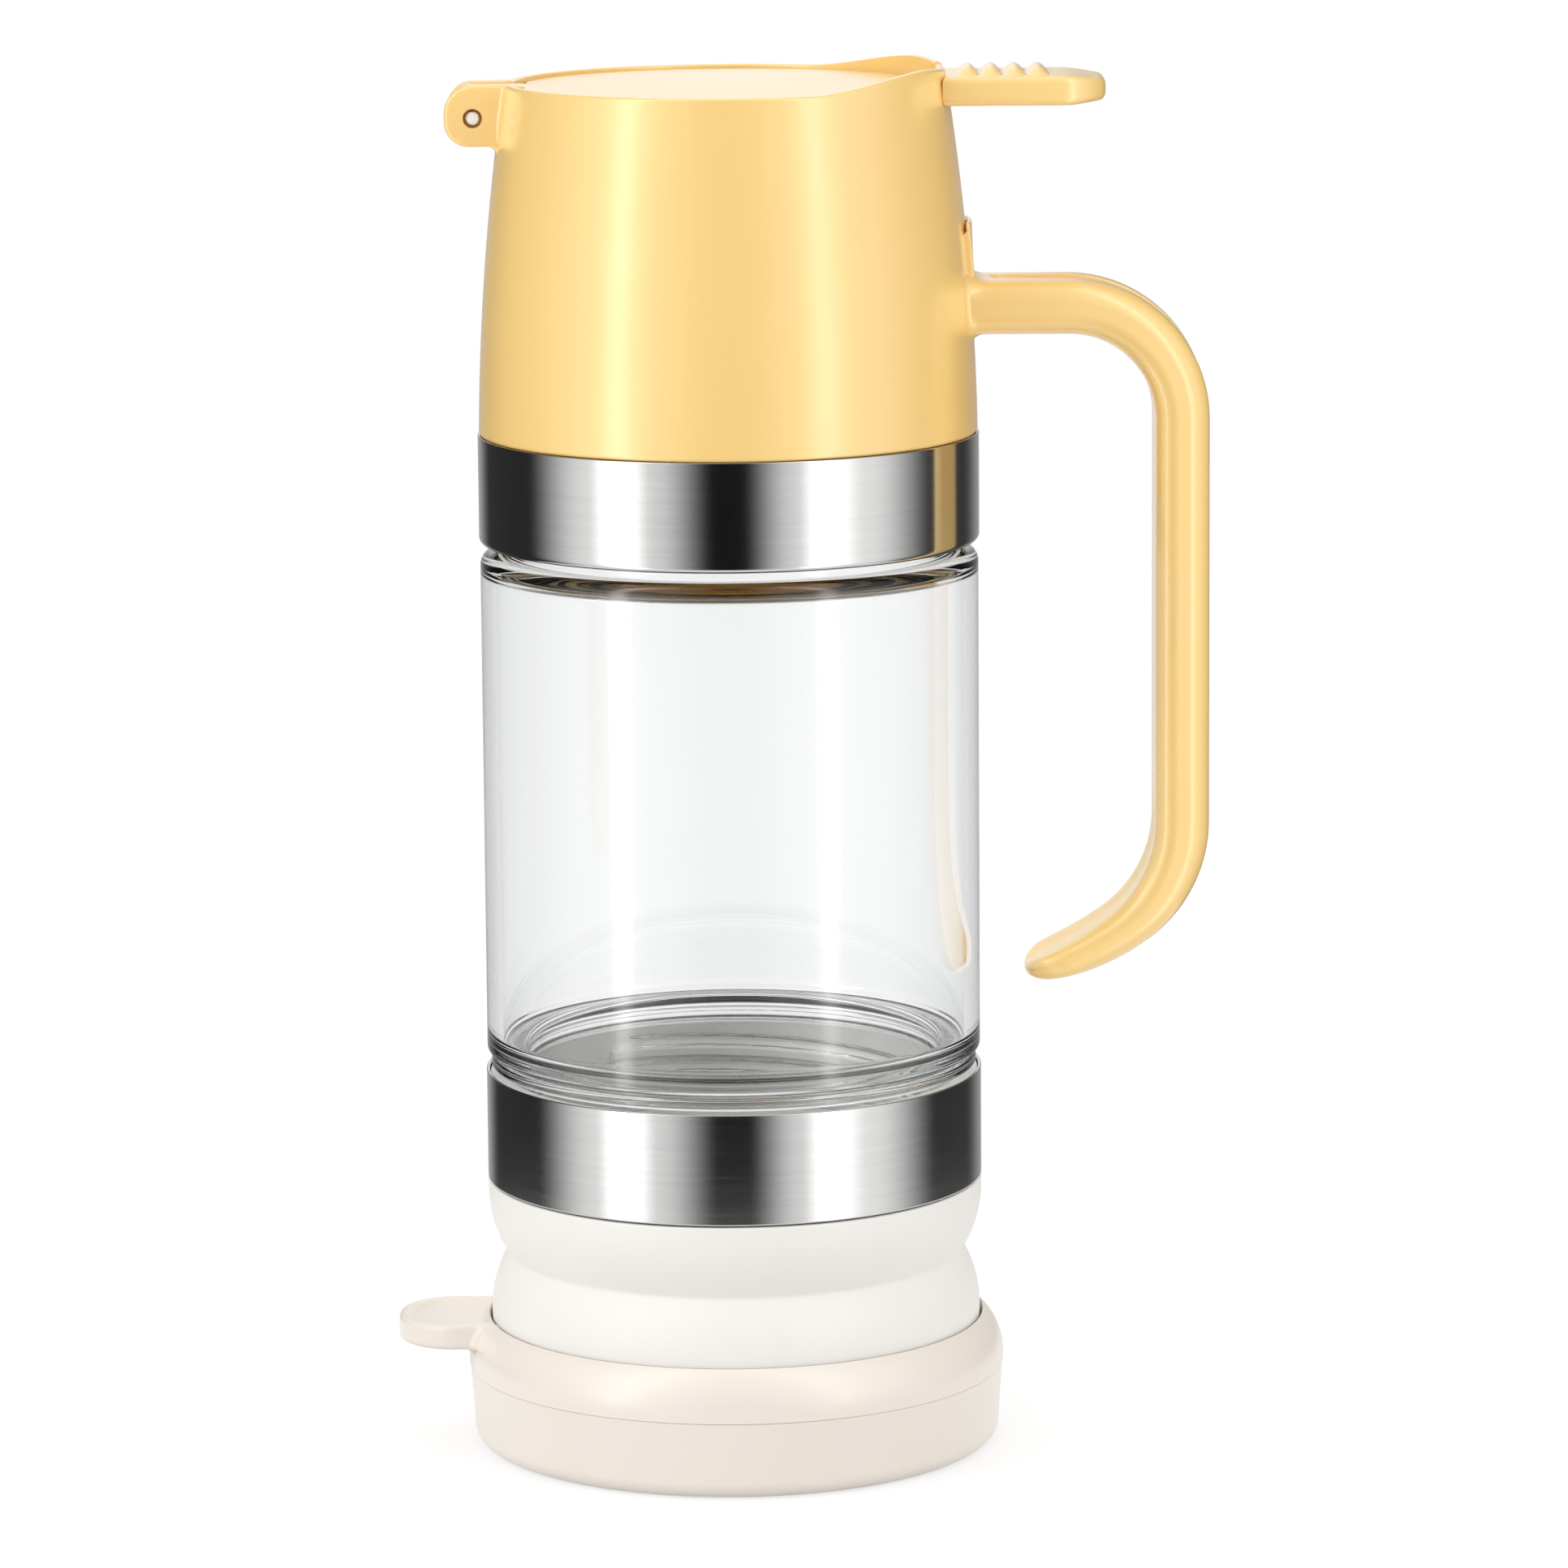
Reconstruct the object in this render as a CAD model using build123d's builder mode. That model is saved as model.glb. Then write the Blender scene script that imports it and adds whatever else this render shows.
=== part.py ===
from build123d import *
import math
import os

os.makedirs("parts", exist_ok=True)

# A squeeze honey dispenser with a hinged lid. Millimetres, Z up. The origin is the middle of the
# underside of the base, the handle is towards +X and the lid hinge towards -X.

# Overall sizes
glass_r = 37.85  # outer radius of the glass cylinder
tray_h = 11.9  # base cap below its seam
ring_h = 7.8  # base cap above its seam
foot_h = 21.9  # soft foot seen between the base cap and the lower band
lower_band_h = 16.8
band_to_glass = 2.7  # lower band to the bottom shoulder of the glass
glass_h = 77.2  # glass between its shoulders
glass_to_band = 1.5
upper_band_h = 16.5
head_h = 53.0  # casing from the upper band to the rim
rim_taper = 4.55  # the rim's radius is smaller than the glass's by this
belly_rise = 0.54  # height share at which the casing's arc has its middle point
belly_share = 0.34  # share of the taper that is lost there

# Clearances
soft_gap = 0.3  # between a soft part and its neighbour on another body
run_gap = 0.35  # between parts that turn or slide past each other
fit_gap = 0.1  # between parts of one body that are pressed together
pin_gap = 0.03
seal_rest = 0.05  # a closed lid's gasket above its seat
within = 0.01  # tolerance when an edge is looked up by its place

# Walls
band_t = 0.5
glass_t = 2.45
casing_t = 2.3
rim_t = 1.15
foot_t = 1.8
skirt_t = 2.05

# Heights that follow from the sizes above
ring_top = tray_h + ring_h
band_low_z = ring_top + foot_h
band_low_top = band_low_z + lower_band_h
glass_low_z = band_low_top + band_to_glass
glass_top_z = glass_low_z + glass_h
band_top_z = glass_top_z + glass_to_band
casing_z = band_top_z + upper_band_h
rim_z = casing_z + head_h

# Radii that follow from the glass
band_proud = 0.15
band_fit = 0.15
casing_step = 0.2
band_r = glass_r + band_proud
band_bore = band_r - band_t
skirt_r = band_bore - band_fit
skirt_bore = skirt_r - skirt_t
thread_depth = 0.9
neck_r = skirt_bore - run_gap - thread_depth
neck_t = 2.5
neck_bore = neck_r - neck_t
casing_r = band_r - casing_step
rim_r = glass_r - rim_taper

# Thread of both glass necks: two starts, right-handed
thread_lead = 8.0
thread_starts = 2
thread_turns = 0.85
thread_base = 2.0
thread_crest = 1.0
thread_sink = 0.4

# Gaskets and the ledges that press them
seal_t = 1.6
ledge_t = 1.3
flange_t = 2.1
seal_inset = 0.2
ledge_drop = 1.8  # upper gasket's ledge below the casing's foot
rim_low_z = band_low_z + flange_t + ledge_t + seal_t
top_ledge_z = casing_z - ledge_drop
rim_high_z = top_ledge_z - seal_t
collar_z = band_low_z + flange_t


def outline(*points_r_z):
    """A closed section through (radius, height) points, to be revolved about Z."""
    with BuildSketch(Plane.XZ) as section:
        with BuildLine():
            Polyline(*points_r_z, close=True)
        make_face()
    return section.sketch


def thread_ridges(root_r, crest_r, start_z):
    """Helical ridges from root_r to crest_r, sunk a little into the wall that carries them."""
    side = math.copysign(1, crest_r - root_r)
    with BuildPart() as ridges:
        with BuildLine() as path:
            Helix(thread_lead, thread_turns * thread_lead, root_r, center=(0, 0, start_z))
        with BuildSketch(Plane(path.line @ 0, x_dir=(1, 0, 0), z_dir=path.line % 0)):
            with BuildLine():
                Polyline(
                    (-side * thread_sink, -thread_base / 2),
                    (crest_r - root_r, -thread_crest / 2),
                    (crest_r - root_r, thread_crest / 2),
                    (-side * thread_sink, thread_base / 2),
                    close=True,
                )
            make_face()
        sweep(path=path.line, is_frenet=True)
        add(ridges.part.rotate(Axis.Z, 180))
    return ridges.part


# Glass jar: a cylinder open at both ends, with a threaded neck at each end and a bead above
# the lower band
corner_r = 2.2
inner_corner_r = 1.6
shoulder_t = 2.0
bead_inset = 0.65
bead_h = 1.6
groove_h = 0.7
groove_inset = 2.3
neck_round = 0.8
bead_round = 0.6
glass_bore = glass_r - glass_t
bead_r = glass_r - bead_inset
bead_top = glass_low_z - groove_h
thread_margin = 1.6  # from a neck's rim to its thread
low_thread_z = rim_low_z + thread_margin + thread_base / 2
high_thread_z = rim_high_z - thread_margin - thread_base / 2 - thread_turns * thread_lead
bend = 1 - math.sqrt(0.5)

with BuildPart() as glass_jar:
    with BuildSketch(Plane.XZ):
        with BuildLine():
            Polyline(
                (neck_bore, rim_low_z),
                (neck_r, rim_low_z),
                (neck_r, bead_top - bead_h),
                (bead_r, bead_top - bead_h),
                (bead_r, bead_top),
                (glass_r - groove_inset, bead_top),
                (glass_r - groove_inset, glass_low_z),
                (glass_r - corner_r, glass_low_z),
            )
            ThreePointArc(
                (glass_r - corner_r, glass_low_z),
                (glass_r - corner_r * bend, glass_low_z + corner_r * bend),
                (glass_r, glass_low_z + corner_r),
            )
            Line((glass_r, glass_low_z + corner_r), (glass_r, glass_top_z - corner_r))
            ThreePointArc(
                (glass_r, glass_top_z - corner_r),
                (glass_r - corner_r * bend, glass_top_z - corner_r * bend),
                (glass_r - corner_r, glass_top_z),
            )
            Polyline(
                (glass_r - corner_r, glass_top_z),
                (neck_r, glass_top_z),
                (neck_r, rim_high_z),
                (neck_bore, rim_high_z),
                (neck_bore, glass_top_z - shoulder_t),
                (glass_bore - inner_corner_r, glass_top_z - shoulder_t),
            )
            ThreePointArc(
                (glass_bore - inner_corner_r, glass_top_z - shoulder_t),
                (glass_bore - inner_corner_r * bend, glass_top_z - shoulder_t - inner_corner_r * bend),
                (glass_bore, glass_top_z - shoulder_t - inner_corner_r),
            )
            Line(
                (glass_bore, glass_top_z - shoulder_t - inner_corner_r),
                (glass_bore, glass_low_z + shoulder_t + inner_corner_r),
            )
            ThreePointArc(
                (glass_bore, glass_low_z + shoulder_t + inner_corner_r),
                (glass_bore - inner_corner_r * bend, glass_low_z + shoulder_t + inner_corner_r * bend),
                (glass_bore - inner_corner_r, glass_low_z + shoulder_t),
            )
            Polyline(
                (glass_bore - inner_corner_r, glass_low_z + shoulder_t),
                (neck_bore, glass_low_z + shoulder_t),
                (neck_bore, rim_low_z),
            )
        make_face()
    revolve(axis=Axis.Z)
    bead_rims = glass_jar.edges().filter_by(GeomType.CIRCLE).filter_by_position(
        Axis.Z, bead_top - bead_h, bead_top
    )
    fillet([e for e in bead_rims if abs(e.radius - bead_r) < within], bead_round)
    rims = glass_jar.edges().filter_by(GeomType.CIRCLE)
    fillet([rims.sort_by(Axis.Z)[0], rims.sort_by(Axis.Z)[1]], neck_round)
    rims = glass_jar.edges().filter_by(GeomType.CIRCLE)
    fillet([rims.sort_by(Axis.Z)[-1], rims.sort_by(Axis.Z)[-2]], neck_round)
    add(thread_ridges(neck_r, neck_r + thread_depth, low_thread_z))
    add(thread_ridges(neck_r, neck_r + thread_depth, high_thread_z))

# Gaskets on the two rims of the glass, inside the crests of the threads round them
seal_r = neck_r + fit_gap

with BuildPart() as lower_seal:
    section = outline(
        (neck_bore + seal_inset, rim_low_z - seal_t),
        (seal_r, rim_low_z - seal_t),
        (seal_r, rim_low_z),
        (neck_bore + seal_inset, rim_low_z),
    )
    revolve(section, axis=Axis.Z)

with BuildPart() as neck_seal:
    section = outline(
        (neck_bore + seal_inset, rim_high_z),
        (seal_r, rim_high_z),
        (seal_r, rim_high_z + seal_t),
        (neck_bore + seal_inset, rim_high_z + seal_t),
    )
    revolve(section, axis=Axis.Z)

# Threaded ring of the head. Its tube stands inside the foot of the casing.
roll_r = 1.0  # rolled lower edge of the upper band
roll_lip = 1.4
skirt_low_z = band_top_z + roll_r
spigot_h = 4.2
spigot_t = 2.0
casing_bore = casing_r - casing_t
half_pitch = thread_lead / thread_starts / 2

with BuildPart() as neck_ring:
    with BuildSketch(Plane.XZ):
        with BuildLine():
            Polyline(
                (skirt_bore, skirt_low_z),
                (skirt_r, skirt_low_z),
                (skirt_r, casing_z - fit_gap),
                (casing_bore - fit_gap, casing_z - fit_gap),
                (casing_bore - fit_gap, casing_z + spigot_h),
                (casing_bore - spigot_t, casing_z + spigot_h),
                (neck_bore, casing_z + ledge_t),
                (neck_bore, top_ledge_z),
                (skirt_bore, top_ledge_z),
                close=True,
            )
        make_face()
    revolve(axis=Axis.Z)
    add(thread_ridges(skirt_bore, neck_r + run_gap, high_thread_z + half_pitch))

# Steel sleeves
with BuildPart() as upper_band:
    with BuildSketch(Plane.XZ):
        with BuildLine():
            Line((band_r, casing_z), (band_r, band_top_z + roll_r))
            ThreePointArc(
                (band_r, band_top_z + roll_r),
                (band_r - roll_r * bend, band_top_z + roll_r * bend),
                (band_r - roll_r, band_top_z),
            )
            Polyline(
                (band_r - roll_r, band_top_z),
                (band_r - roll_lip, band_top_z),
                (band_r - roll_lip, band_top_z + band_t),
                (band_r - roll_r, band_top_z + band_t),
            )
            ThreePointArc(
                (band_r - roll_r, band_top_z + band_t),
                (band_bore - (roll_r - band_t) * bend, band_top_z + band_t + (roll_r - band_t) * bend),
                (band_bore, band_top_z + roll_r),
            )
            Polyline((band_bore, band_top_z + roll_r), (band_bore, casing_z), (band_r, casing_z))
        make_face()
    revolve(axis=Axis.Z)

band_round = 0.15

with BuildPart() as lower_band:
    with BuildSketch(Plane.XZ):
        with Locations(((band_r + band_bore) / 2, (band_low_z + band_low_top) / 2)):
            Rectangle(band_t, lower_band_h)
    revolve(axis=Axis.Z)
    fillet(lower_band.edges().filter_by(GeomType.CIRCLE), band_round)

# Threaded collar in the lower band. A spigot below it takes the clamp ring.
spigot_wall = 1.8
collar_inset = 0.5
spigot_r = neck_bore + spigot_wall
snap_lip = 0.6
snap_h = 0.8
clamp_h = 1.6
foot_top_z = band_low_z - soft_gap
spigot_low_z = foot_top_z - clamp_h - snap_h - 2 * fit_gap
collar_top = band_low_top - collar_inset

with BuildPart() as lower_collar:
    with BuildSketch(Plane.XZ):
        with BuildLine():
            Polyline(
                (neck_bore, spigot_low_z),
                (spigot_r + snap_lip, spigot_low_z),
                (spigot_r + snap_lip, spigot_low_z + snap_h),
                (spigot_r, spigot_low_z + snap_h),
                (spigot_r, collar_z),
                (skirt_r, collar_z),
                (skirt_r, collar_top),
                (skirt_bore, collar_top),
                (skirt_bore, rim_low_z - seal_t),
                (neck_bore, rim_low_z - seal_t),
                close=True,
            )
        make_face()
    revolve(axis=Axis.Z)
    add(thread_ridges(skirt_bore, neck_r + run_gap, low_thread_z - half_pitch))

# Soft foot: one inward fold, a flange above it and a groove for the outlet plate below it
foot_inset = 0.2  # lower bulge inside the glass's radius
foot_flare = 0.1  # upper bulge beyond it
foot_chamfer = 1.0
foot_r = glass_r - foot_inset
foot_top_r = glass_r + foot_flare
waist_depth = 2.6
waist_rise = 10.1  # waist above the base cap
bulge_low = 0.9  # where the lower bulge starts above the base cap
bulge_high = 2.1  # where the upper bulge ends below the band
foot_low_z = 9.0
lip_t = 1.5
lip_w = 2.6
plate_t = 2.2
waist_z = ring_top + waist_rise
waist_r = foot_r - waist_depth
flange_bore = spigot_r + fit_gap
plate_r = foot_r - foot_t - fit_gap
plate_z = foot_low_z + lip_t
low_bend_z = ring_top + bulge_low
high_bend_z = band_low_z - bulge_high


def bulge(r_end, z_end, r_waist, z_waist):
    """Arc that is upright at (r_end, z_end) and reaches the waist: gives its middle point."""
    drop = r_end - r_waist
    rise = z_waist - z_end
    radius = (drop**2 + rise**2) / (2 * drop)
    half = math.asin(abs(rise) / radius) / 2
    return r_end - radius * (1 - math.cos(half)), z_end + math.copysign(radius * math.sin(half), rise)


with BuildPart() as squeeze_bellows:
    with BuildSketch(Plane.XZ):
        with BuildLine():
            Polyline(
                (foot_r - lip_w - foot_t, foot_low_z),
                (foot_r - foot_chamfer, foot_low_z),
                (foot_r, foot_low_z + foot_chamfer),
                (foot_r, low_bend_z),
            )
            ThreePointArc(
                (foot_r, low_bend_z), bulge(foot_r, low_bend_z, waist_r, waist_z), (waist_r, waist_z)
            )
            ThreePointArc(
                (waist_r, waist_z),
                bulge(foot_top_r, high_bend_z, waist_r, waist_z),
                (foot_top_r, high_bend_z),
            )
            Polyline(
                (foot_top_r, high_bend_z),
                (foot_top_r, foot_top_z),
                (skirt_r, foot_top_z),
                (skirt_r, collar_z),
                (flange_bore, collar_z),
                (flange_bore, foot_top_z),
                (foot_top_r - foot_t, foot_top_z),
                (foot_top_r - foot_t, high_bend_z),
            )
            ThreePointArc(
                (foot_top_r - foot_t, high_bend_z),
                bulge(foot_top_r - foot_t, high_bend_z, waist_r - foot_t, waist_z),
                (waist_r - foot_t, waist_z),
            )
            ThreePointArc(
                (waist_r - foot_t, waist_z),
                bulge(foot_r - foot_t, low_bend_z, waist_r - foot_t, waist_z),
                (foot_r - foot_t, low_bend_z),
            )
            Polyline(
                (foot_r - foot_t, low_bend_z),
                (foot_r - foot_t, plate_z + plate_t + fit_gap + lip_t),
                (foot_r - lip_w, plate_z + plate_t + fit_gap + lip_t),
                (foot_r - lip_w, plate_z + plate_t + fit_gap),
                (foot_r - foot_t, plate_z + plate_t + fit_gap),
                (foot_r - foot_t, plate_z),
                (foot_r - lip_w - foot_t, plate_z),
                (foot_r - lip_w - foot_t, foot_low_z),
            )
        make_face()
    revolve(axis=Axis.Z)

with BuildPart() as clamp_ring:
    section = outline(
        (spigot_r + fit_gap, foot_top_z - clamp_h),
        (foot_top_r - foot_t - soft_gap, foot_top_z - clamp_h),
        (foot_top_r - foot_t - soft_gap, foot_top_z),
        (spigot_r + fit_gap, foot_top_z),
    )
    revolve(section, axis=Axis.Z)

# Outlet: a shallow funnel with a socket for the slit valve and the ring that holds it
socket_r = 10.2
valve_r = 8.3
valve_bore = 5.4
socket_low_z = 5.2
valve_ring_h = 1.8
valve_t = 0.8
funnel_drop = 3.3
funnel_rim = 5.4  # flat rim of the plate, outside the funnel
mouth_chamfer = 0.8
mouth_h = 1.4
socket_top = socket_low_z + valve_ring_h + valve_t

with BuildPart() as outlet_plate:
    section = outline(
        (valve_r + fit_gap, socket_low_z),
        (socket_r, socket_low_z),
        (socket_r, plate_z - funnel_drop),
        (plate_r - funnel_rim, plate_z),
        (plate_r, plate_z),
        (plate_r, plate_z + plate_t),
        (plate_r - funnel_rim, plate_z + plate_t),
        (valve_bore + mouth_chamfer, socket_top + mouth_h + mouth_chamfer / 2),
        (valve_bore, socket_top + mouth_h),
        (valve_bore, socket_top),
        (valve_r + fit_gap, socket_top),
    )
    revolve(section, axis=Axis.Z)

ring_wall = 2.5

with BuildPart() as valve_ring:
    section = outline(
        (valve_r - ring_wall, socket_low_z + fit_gap),
        (valve_r, socket_low_z + fit_gap),
        (valve_r, socket_low_z + valve_ring_h),
        (valve_r - ring_wall, socket_low_z + valve_ring_h),
    )
    revolve(section, axis=Axis.Z)

# The valve's middle hangs a little inside the ring's bore and carries a crossed slit
slit_w = 0.25
slit_len = 6.0
dome_r = valve_bore + fit_gap
dome_drop = 0.5

with BuildPart() as slit_valve:
    with BuildSketch(Plane.XZ):
        with BuildLine():
            Polyline(
                (0, socket_low_z + valve_ring_h - dome_drop),
                (dome_r, socket_low_z + valve_ring_h),
                (valve_r - fit_gap, socket_low_z + valve_ring_h),
                (valve_r - fit_gap, socket_top),
                (dome_r - valve_t, socket_top),
                (0, socket_top - dome_drop),
                close=True,
            )
        make_face()
    revolve(axis=Axis.Z)
    with BuildSketch(Plane.XY.offset(socket_low_z)):
        Rectangle(slit_len, slit_w)
        Rectangle(slit_w, slit_len)
    extrude(amount=socket_top, mode=Mode.SUBTRACT)

# Base cap: a tray that the whole thing stands on, and a ring with a pull tab
cap_overhang = 3.3  # base cap beyond the glass
tray_draft = 0.75
tray_round = 2.6
floor_t = 2.4
cap_r = glass_r + cap_overhang
tray_low_r = cap_r - tray_draft
ring_bore = foot_r + soft_gap
joint_depth = 2.9
joint_t = 1.25
tray_bore = ring_bore + joint_t + fit_gap

with BuildPart() as cap_tray:
    with BuildSketch(Plane.XZ):
        with BuildLine():
            Polyline(
                (0, 0),
                (tray_low_r - tray_round, 0),
            )
            ThreePointArc(
                (tray_low_r - tray_round, 0),
                (tray_low_r - tray_round * bend, tray_round * bend),
                (tray_low_r, tray_round),
            )
            Polyline(
                (tray_low_r, tray_round),
                (cap_r, tray_h),
                (tray_bore, tray_h),
                (tray_bore, tray_h - joint_depth - fit_gap),
                (tray_bore - tray_draft, floor_t),
                (0, floor_t),
                (0, 0),
            )
        make_face()
    revolve(axis=Axis.Z)

tab_reach = 10.9  # pull tab beyond the base cap
tab_half_w = 10.0
tab_t = 4.0
tab_dish = 0.7
tab_rim = 1.5
tab_corner = 9.2
tab_edge = 0.9
dish_taper = 35
ring_round = 2.6
ring_edge = 0.3
ring_proud = 0.1  # ring beyond the tray
ring_skirt = 1.0  # upright stretch above the seam
ring_mid_in = 0.75
ring_mid_up = 5.0
seam_gap = 0.08
web_r = 1.8
web_half_w = 7.5
wall_sink = 1.0  # how far a shape runs into the wall that it grows from

ring_r = cap_r + ring_proud
web_x = -ring_bore - wall_sink
web_z = ring_top - tab_t - web_r

with BuildPart() as cap_ring:
    with BuildSketch(Plane.XY.offset(ring_top - tab_t)):
        with Locations((-(cap_r + tab_reach) / 2, 0)):
            Rectangle(cap_r + tab_reach, 2 * tab_half_w)
    extrude(amount=tab_t)
    tip = cap_ring.edges().filter_by(Axis.Z).sort_by(Axis.X)
    fillet(tip[0:2], tab_corner)
    flats = cap_ring.faces().filter_by(Axis.Z)
    fillet(flats.edges(), tab_edge)
    with BuildSketch(Plane.XY.offset(ring_top)):
        with Locations((-(cap_r + tab_reach) / 2, 0)):
            Rectangle(cap_r + tab_reach - 2 * tab_rim, 2 * (tab_half_w - tab_rim))
        fillet(vertices().sort_by(Axis.X)[0:2], tab_corner - tab_rim)
    extrude(amount=-tab_dish, taper=dish_taper, mode=Mode.SUBTRACT)
    with BuildSketch(Plane.XZ):
        with BuildLine():
            Line((ring_r, tray_h + seam_gap), (ring_r, tray_h + ring_skirt))
            ThreePointArc(
                (ring_r, tray_h + ring_skirt),
                (cap_r - ring_mid_in, tray_h + ring_mid_up),
                (cap_r - ring_round, ring_top - ring_edge),
            )
            Polyline(
                (cap_r - ring_round, ring_top - ring_edge),
                (cap_r - ring_round - ring_edge, ring_top),
                (ring_bore, ring_top),
                (ring_bore, tray_h - joint_depth),
                (ring_bore + joint_t, tray_h - joint_depth),
                (ring_bore + joint_t, tray_h + seam_gap),
                (ring_r, tray_h + seam_gap),
            )
        make_face()
    revolve(axis=Axis.Z)
    with BuildSketch(Plane.XY.offset(ring_top - 2 * tab_t)):
        Circle(ring_bore)
    extrude(amount=3 * tab_t, mode=Mode.SUBTRACT)
    # Rounded web below the tab
    with BuildSketch(Plane.XZ):
        with BuildLine():
            Line((-cap_r - web_r, web_z + web_r), (web_x, web_z + web_r))
            Line((web_x, web_z + web_r), (web_x, web_z))
            Line((web_x, web_z), (-cap_r, web_z))
            RadiusArc((-cap_r, web_z), (-cap_r - web_r, web_z + web_r), web_r)
        make_face()
    extrude(amount=web_half_w, both=True)

plug_chamfer = 1.0

with BuildPart() as cap_plug:
    section = outline(
        (0, floor_t),
        (socket_r, floor_t),
        (socket_r, socket_low_z - soft_gap - plug_chamfer),
        (socket_r - plug_chamfer, socket_low_z - soft_gap),
        (0, socket_low_z - soft_gap),
    )
    revolve(section, axis=Axis.Z)

# Head casing. The rim is raised into a wing on each side of the lid's tab.
seat_drop = 3.2  # lid seat below the rim
seat_w = 3.35
seat_t = 1.6
wing_rise = 2.45
wing_start = 11.0
wing_mid = 20.5
wing_peak = 29.6
wing_end_drop = 0.55
wing_mid_rise = 0.93
wing_end_slope = -0.25
rim_round = 0.35
notch_half_w = 6.6
strap_half_w = 2.9
ear_t = 2.8
ear_r = 4.3
hinge_reach = 4.55  # pin beyond the rim
hinge_drop = 4.9  # pin below the rim
pin_r = 1.0
pin_mouth_r = 1.4
pin_mouth_h = 0.45
ear_step = 0.05  # top of the ears below the rim
ear_round = 4.17
ear_sink = 0.3  # root of the ears outside the rim's bore
rim_bore = rim_r - rim_t
seat_z = rim_z - seat_drop
seat_bore = rim_bore - seat_w
pin_x = -(rim_r + hinge_reach)
pin_z = rim_z - hinge_drop
belly_r = casing_r - (casing_r - rim_r) * belly_share
belly_z = casing_z + head_h * belly_rise
ear_in = strap_half_w + soft_gap
ear_out = ear_in + ear_t
ear_root_x = -(rim_bore + ear_sink)
screw_z = rim_z - 33.9
screw_r = 2.0
screw_head_r = 3.9
screw_head_h = 1.5
head_sink = 0.55
head_x = belly_r - casing_t + head_sink
ledge_slope = 2.4
way_half_l = rim_r - seat_bore

with BuildPart() as casing:
    with BuildSketch(Plane.XZ):
        with BuildLine():
            ThreePointArc((casing_r, casing_z), (belly_r, belly_z), (rim_r, rim_z))
            Polyline(
                (rim_r, rim_z),
                (rim_r, rim_z + 2 * wing_rise),
                (rim_bore, rim_z + 2 * wing_rise),
                (rim_bore, seat_z),
                (seat_bore, seat_z),
                (seat_bore, seat_z - seat_t),
                (rim_r - casing_t, seat_z - seat_t - ledge_slope),
            )
            ThreePointArc(
                (rim_r - casing_t, seat_z - seat_t - ledge_slope),
                (belly_r - casing_t, belly_z),
                (casing_bore, casing_z),
            )
            Line((casing_bore, casing_z), (casing_r, casing_z))
        make_face()
    revolve(axis=Axis.Z)
    # The rim's height, seen from the side
    with BuildSketch(Plane.XZ):
        with BuildLine():
            Line((-2 * rim_r, rim_z), (wing_start, rim_z))
            Spline(
                (wing_start, rim_z),
                (wing_mid, rim_z + wing_mid_rise),
                (wing_peak, rim_z + wing_rise),
                (rim_r + wall_sink, rim_z + wing_rise - wing_end_drop),
                tangents=((1, 0), (1, wing_end_slope)),
            )
            Polyline(
                (rim_r + wall_sink, rim_z + wing_rise - wing_end_drop),
                (2 * rim_r, rim_z + wing_rise - wing_end_drop),
                (2 * rim_r, rim_z + 3 * wing_rise),
                (-2 * rim_r, rim_z + 3 * wing_rise),
                (-2 * rim_r, rim_z),
            )
        make_face()
    extrude(amount=2 * rim_r, both=True, mode=Mode.SUBTRACT)
    crown = casing.faces().filter_by_position(Axis.Z, rim_z - within, rim_z + 2 * wing_rise)
    fillet(crown.edges().sort_by(SortBy.LENGTH)[-2:], rim_round)
    # Hinge ears
    for side in (-1, 1):
        with BuildSketch(Plane.XZ.offset(-side * (ear_in + ear_t / 2))):
            with BuildLine():
                Polyline(
                    (ear_root_x, rim_z - ear_step),
                    (pin_x - ear_r, rim_z - ear_step),
                    (pin_x - ear_r, pin_z - ear_r),
                    (ear_root_x, pin_z - ear_r),
                    close=True,
                )
            make_face()
            fillet(vertices().sort_by(Axis.X)[0:2], ear_round)
        extrude(amount=ear_t / 2, both=True)
    # Way for the strap at the hinge and for the tab's neck
    with BuildSketch(Plane.XY.offset(seat_z)):
        with Locations((-(rim_r + wall_sink), 0)):
            Rectangle(2 * way_half_l, 2 * ear_in)
        with Locations((rim_r, 0)):
            Rectangle(2 * way_half_l, 2 * notch_half_w)
    extrude(amount=3 * seat_drop, mode=Mode.SUBTRACT)
    # Bore for the hinge pin, with a wider mouth on the outside of each ear
    with Locations(Location((pin_x, 0, pin_z), (90, 0, 0))):
        Cylinder(pin_r + pin_gap, 4 * ear_out, mode=Mode.SUBTRACT)
    for side in (-1, 1):
        with Locations(Location((pin_x, side * ear_out, pin_z), (90, 0, 0))):
            Cylinder(pin_mouth_r, 2 * pin_mouth_h, mode=Mode.SUBTRACT)
    # Screw hole for the handle, countersunk from inside
    with BuildSketch(Plane.XZ):
        with BuildLine():
            Polyline(
                (head_x - casing_t, screw_z),
                (head_x - casing_t, screw_z + screw_head_r + fit_gap),
                (head_x, screw_z + screw_head_r + fit_gap),
                (head_x + screw_head_h, screw_z + screw_r + fit_gap),
                (casing_r + casing_t, screw_z + screw_r + fit_gap),
                (casing_r + casing_t, screw_z),
                close=True,
            )
        make_face()
    revolve(axis=Axis((0, 0, screw_z), (1, 0, 0)), mode=Mode.SUBTRACT)

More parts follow.
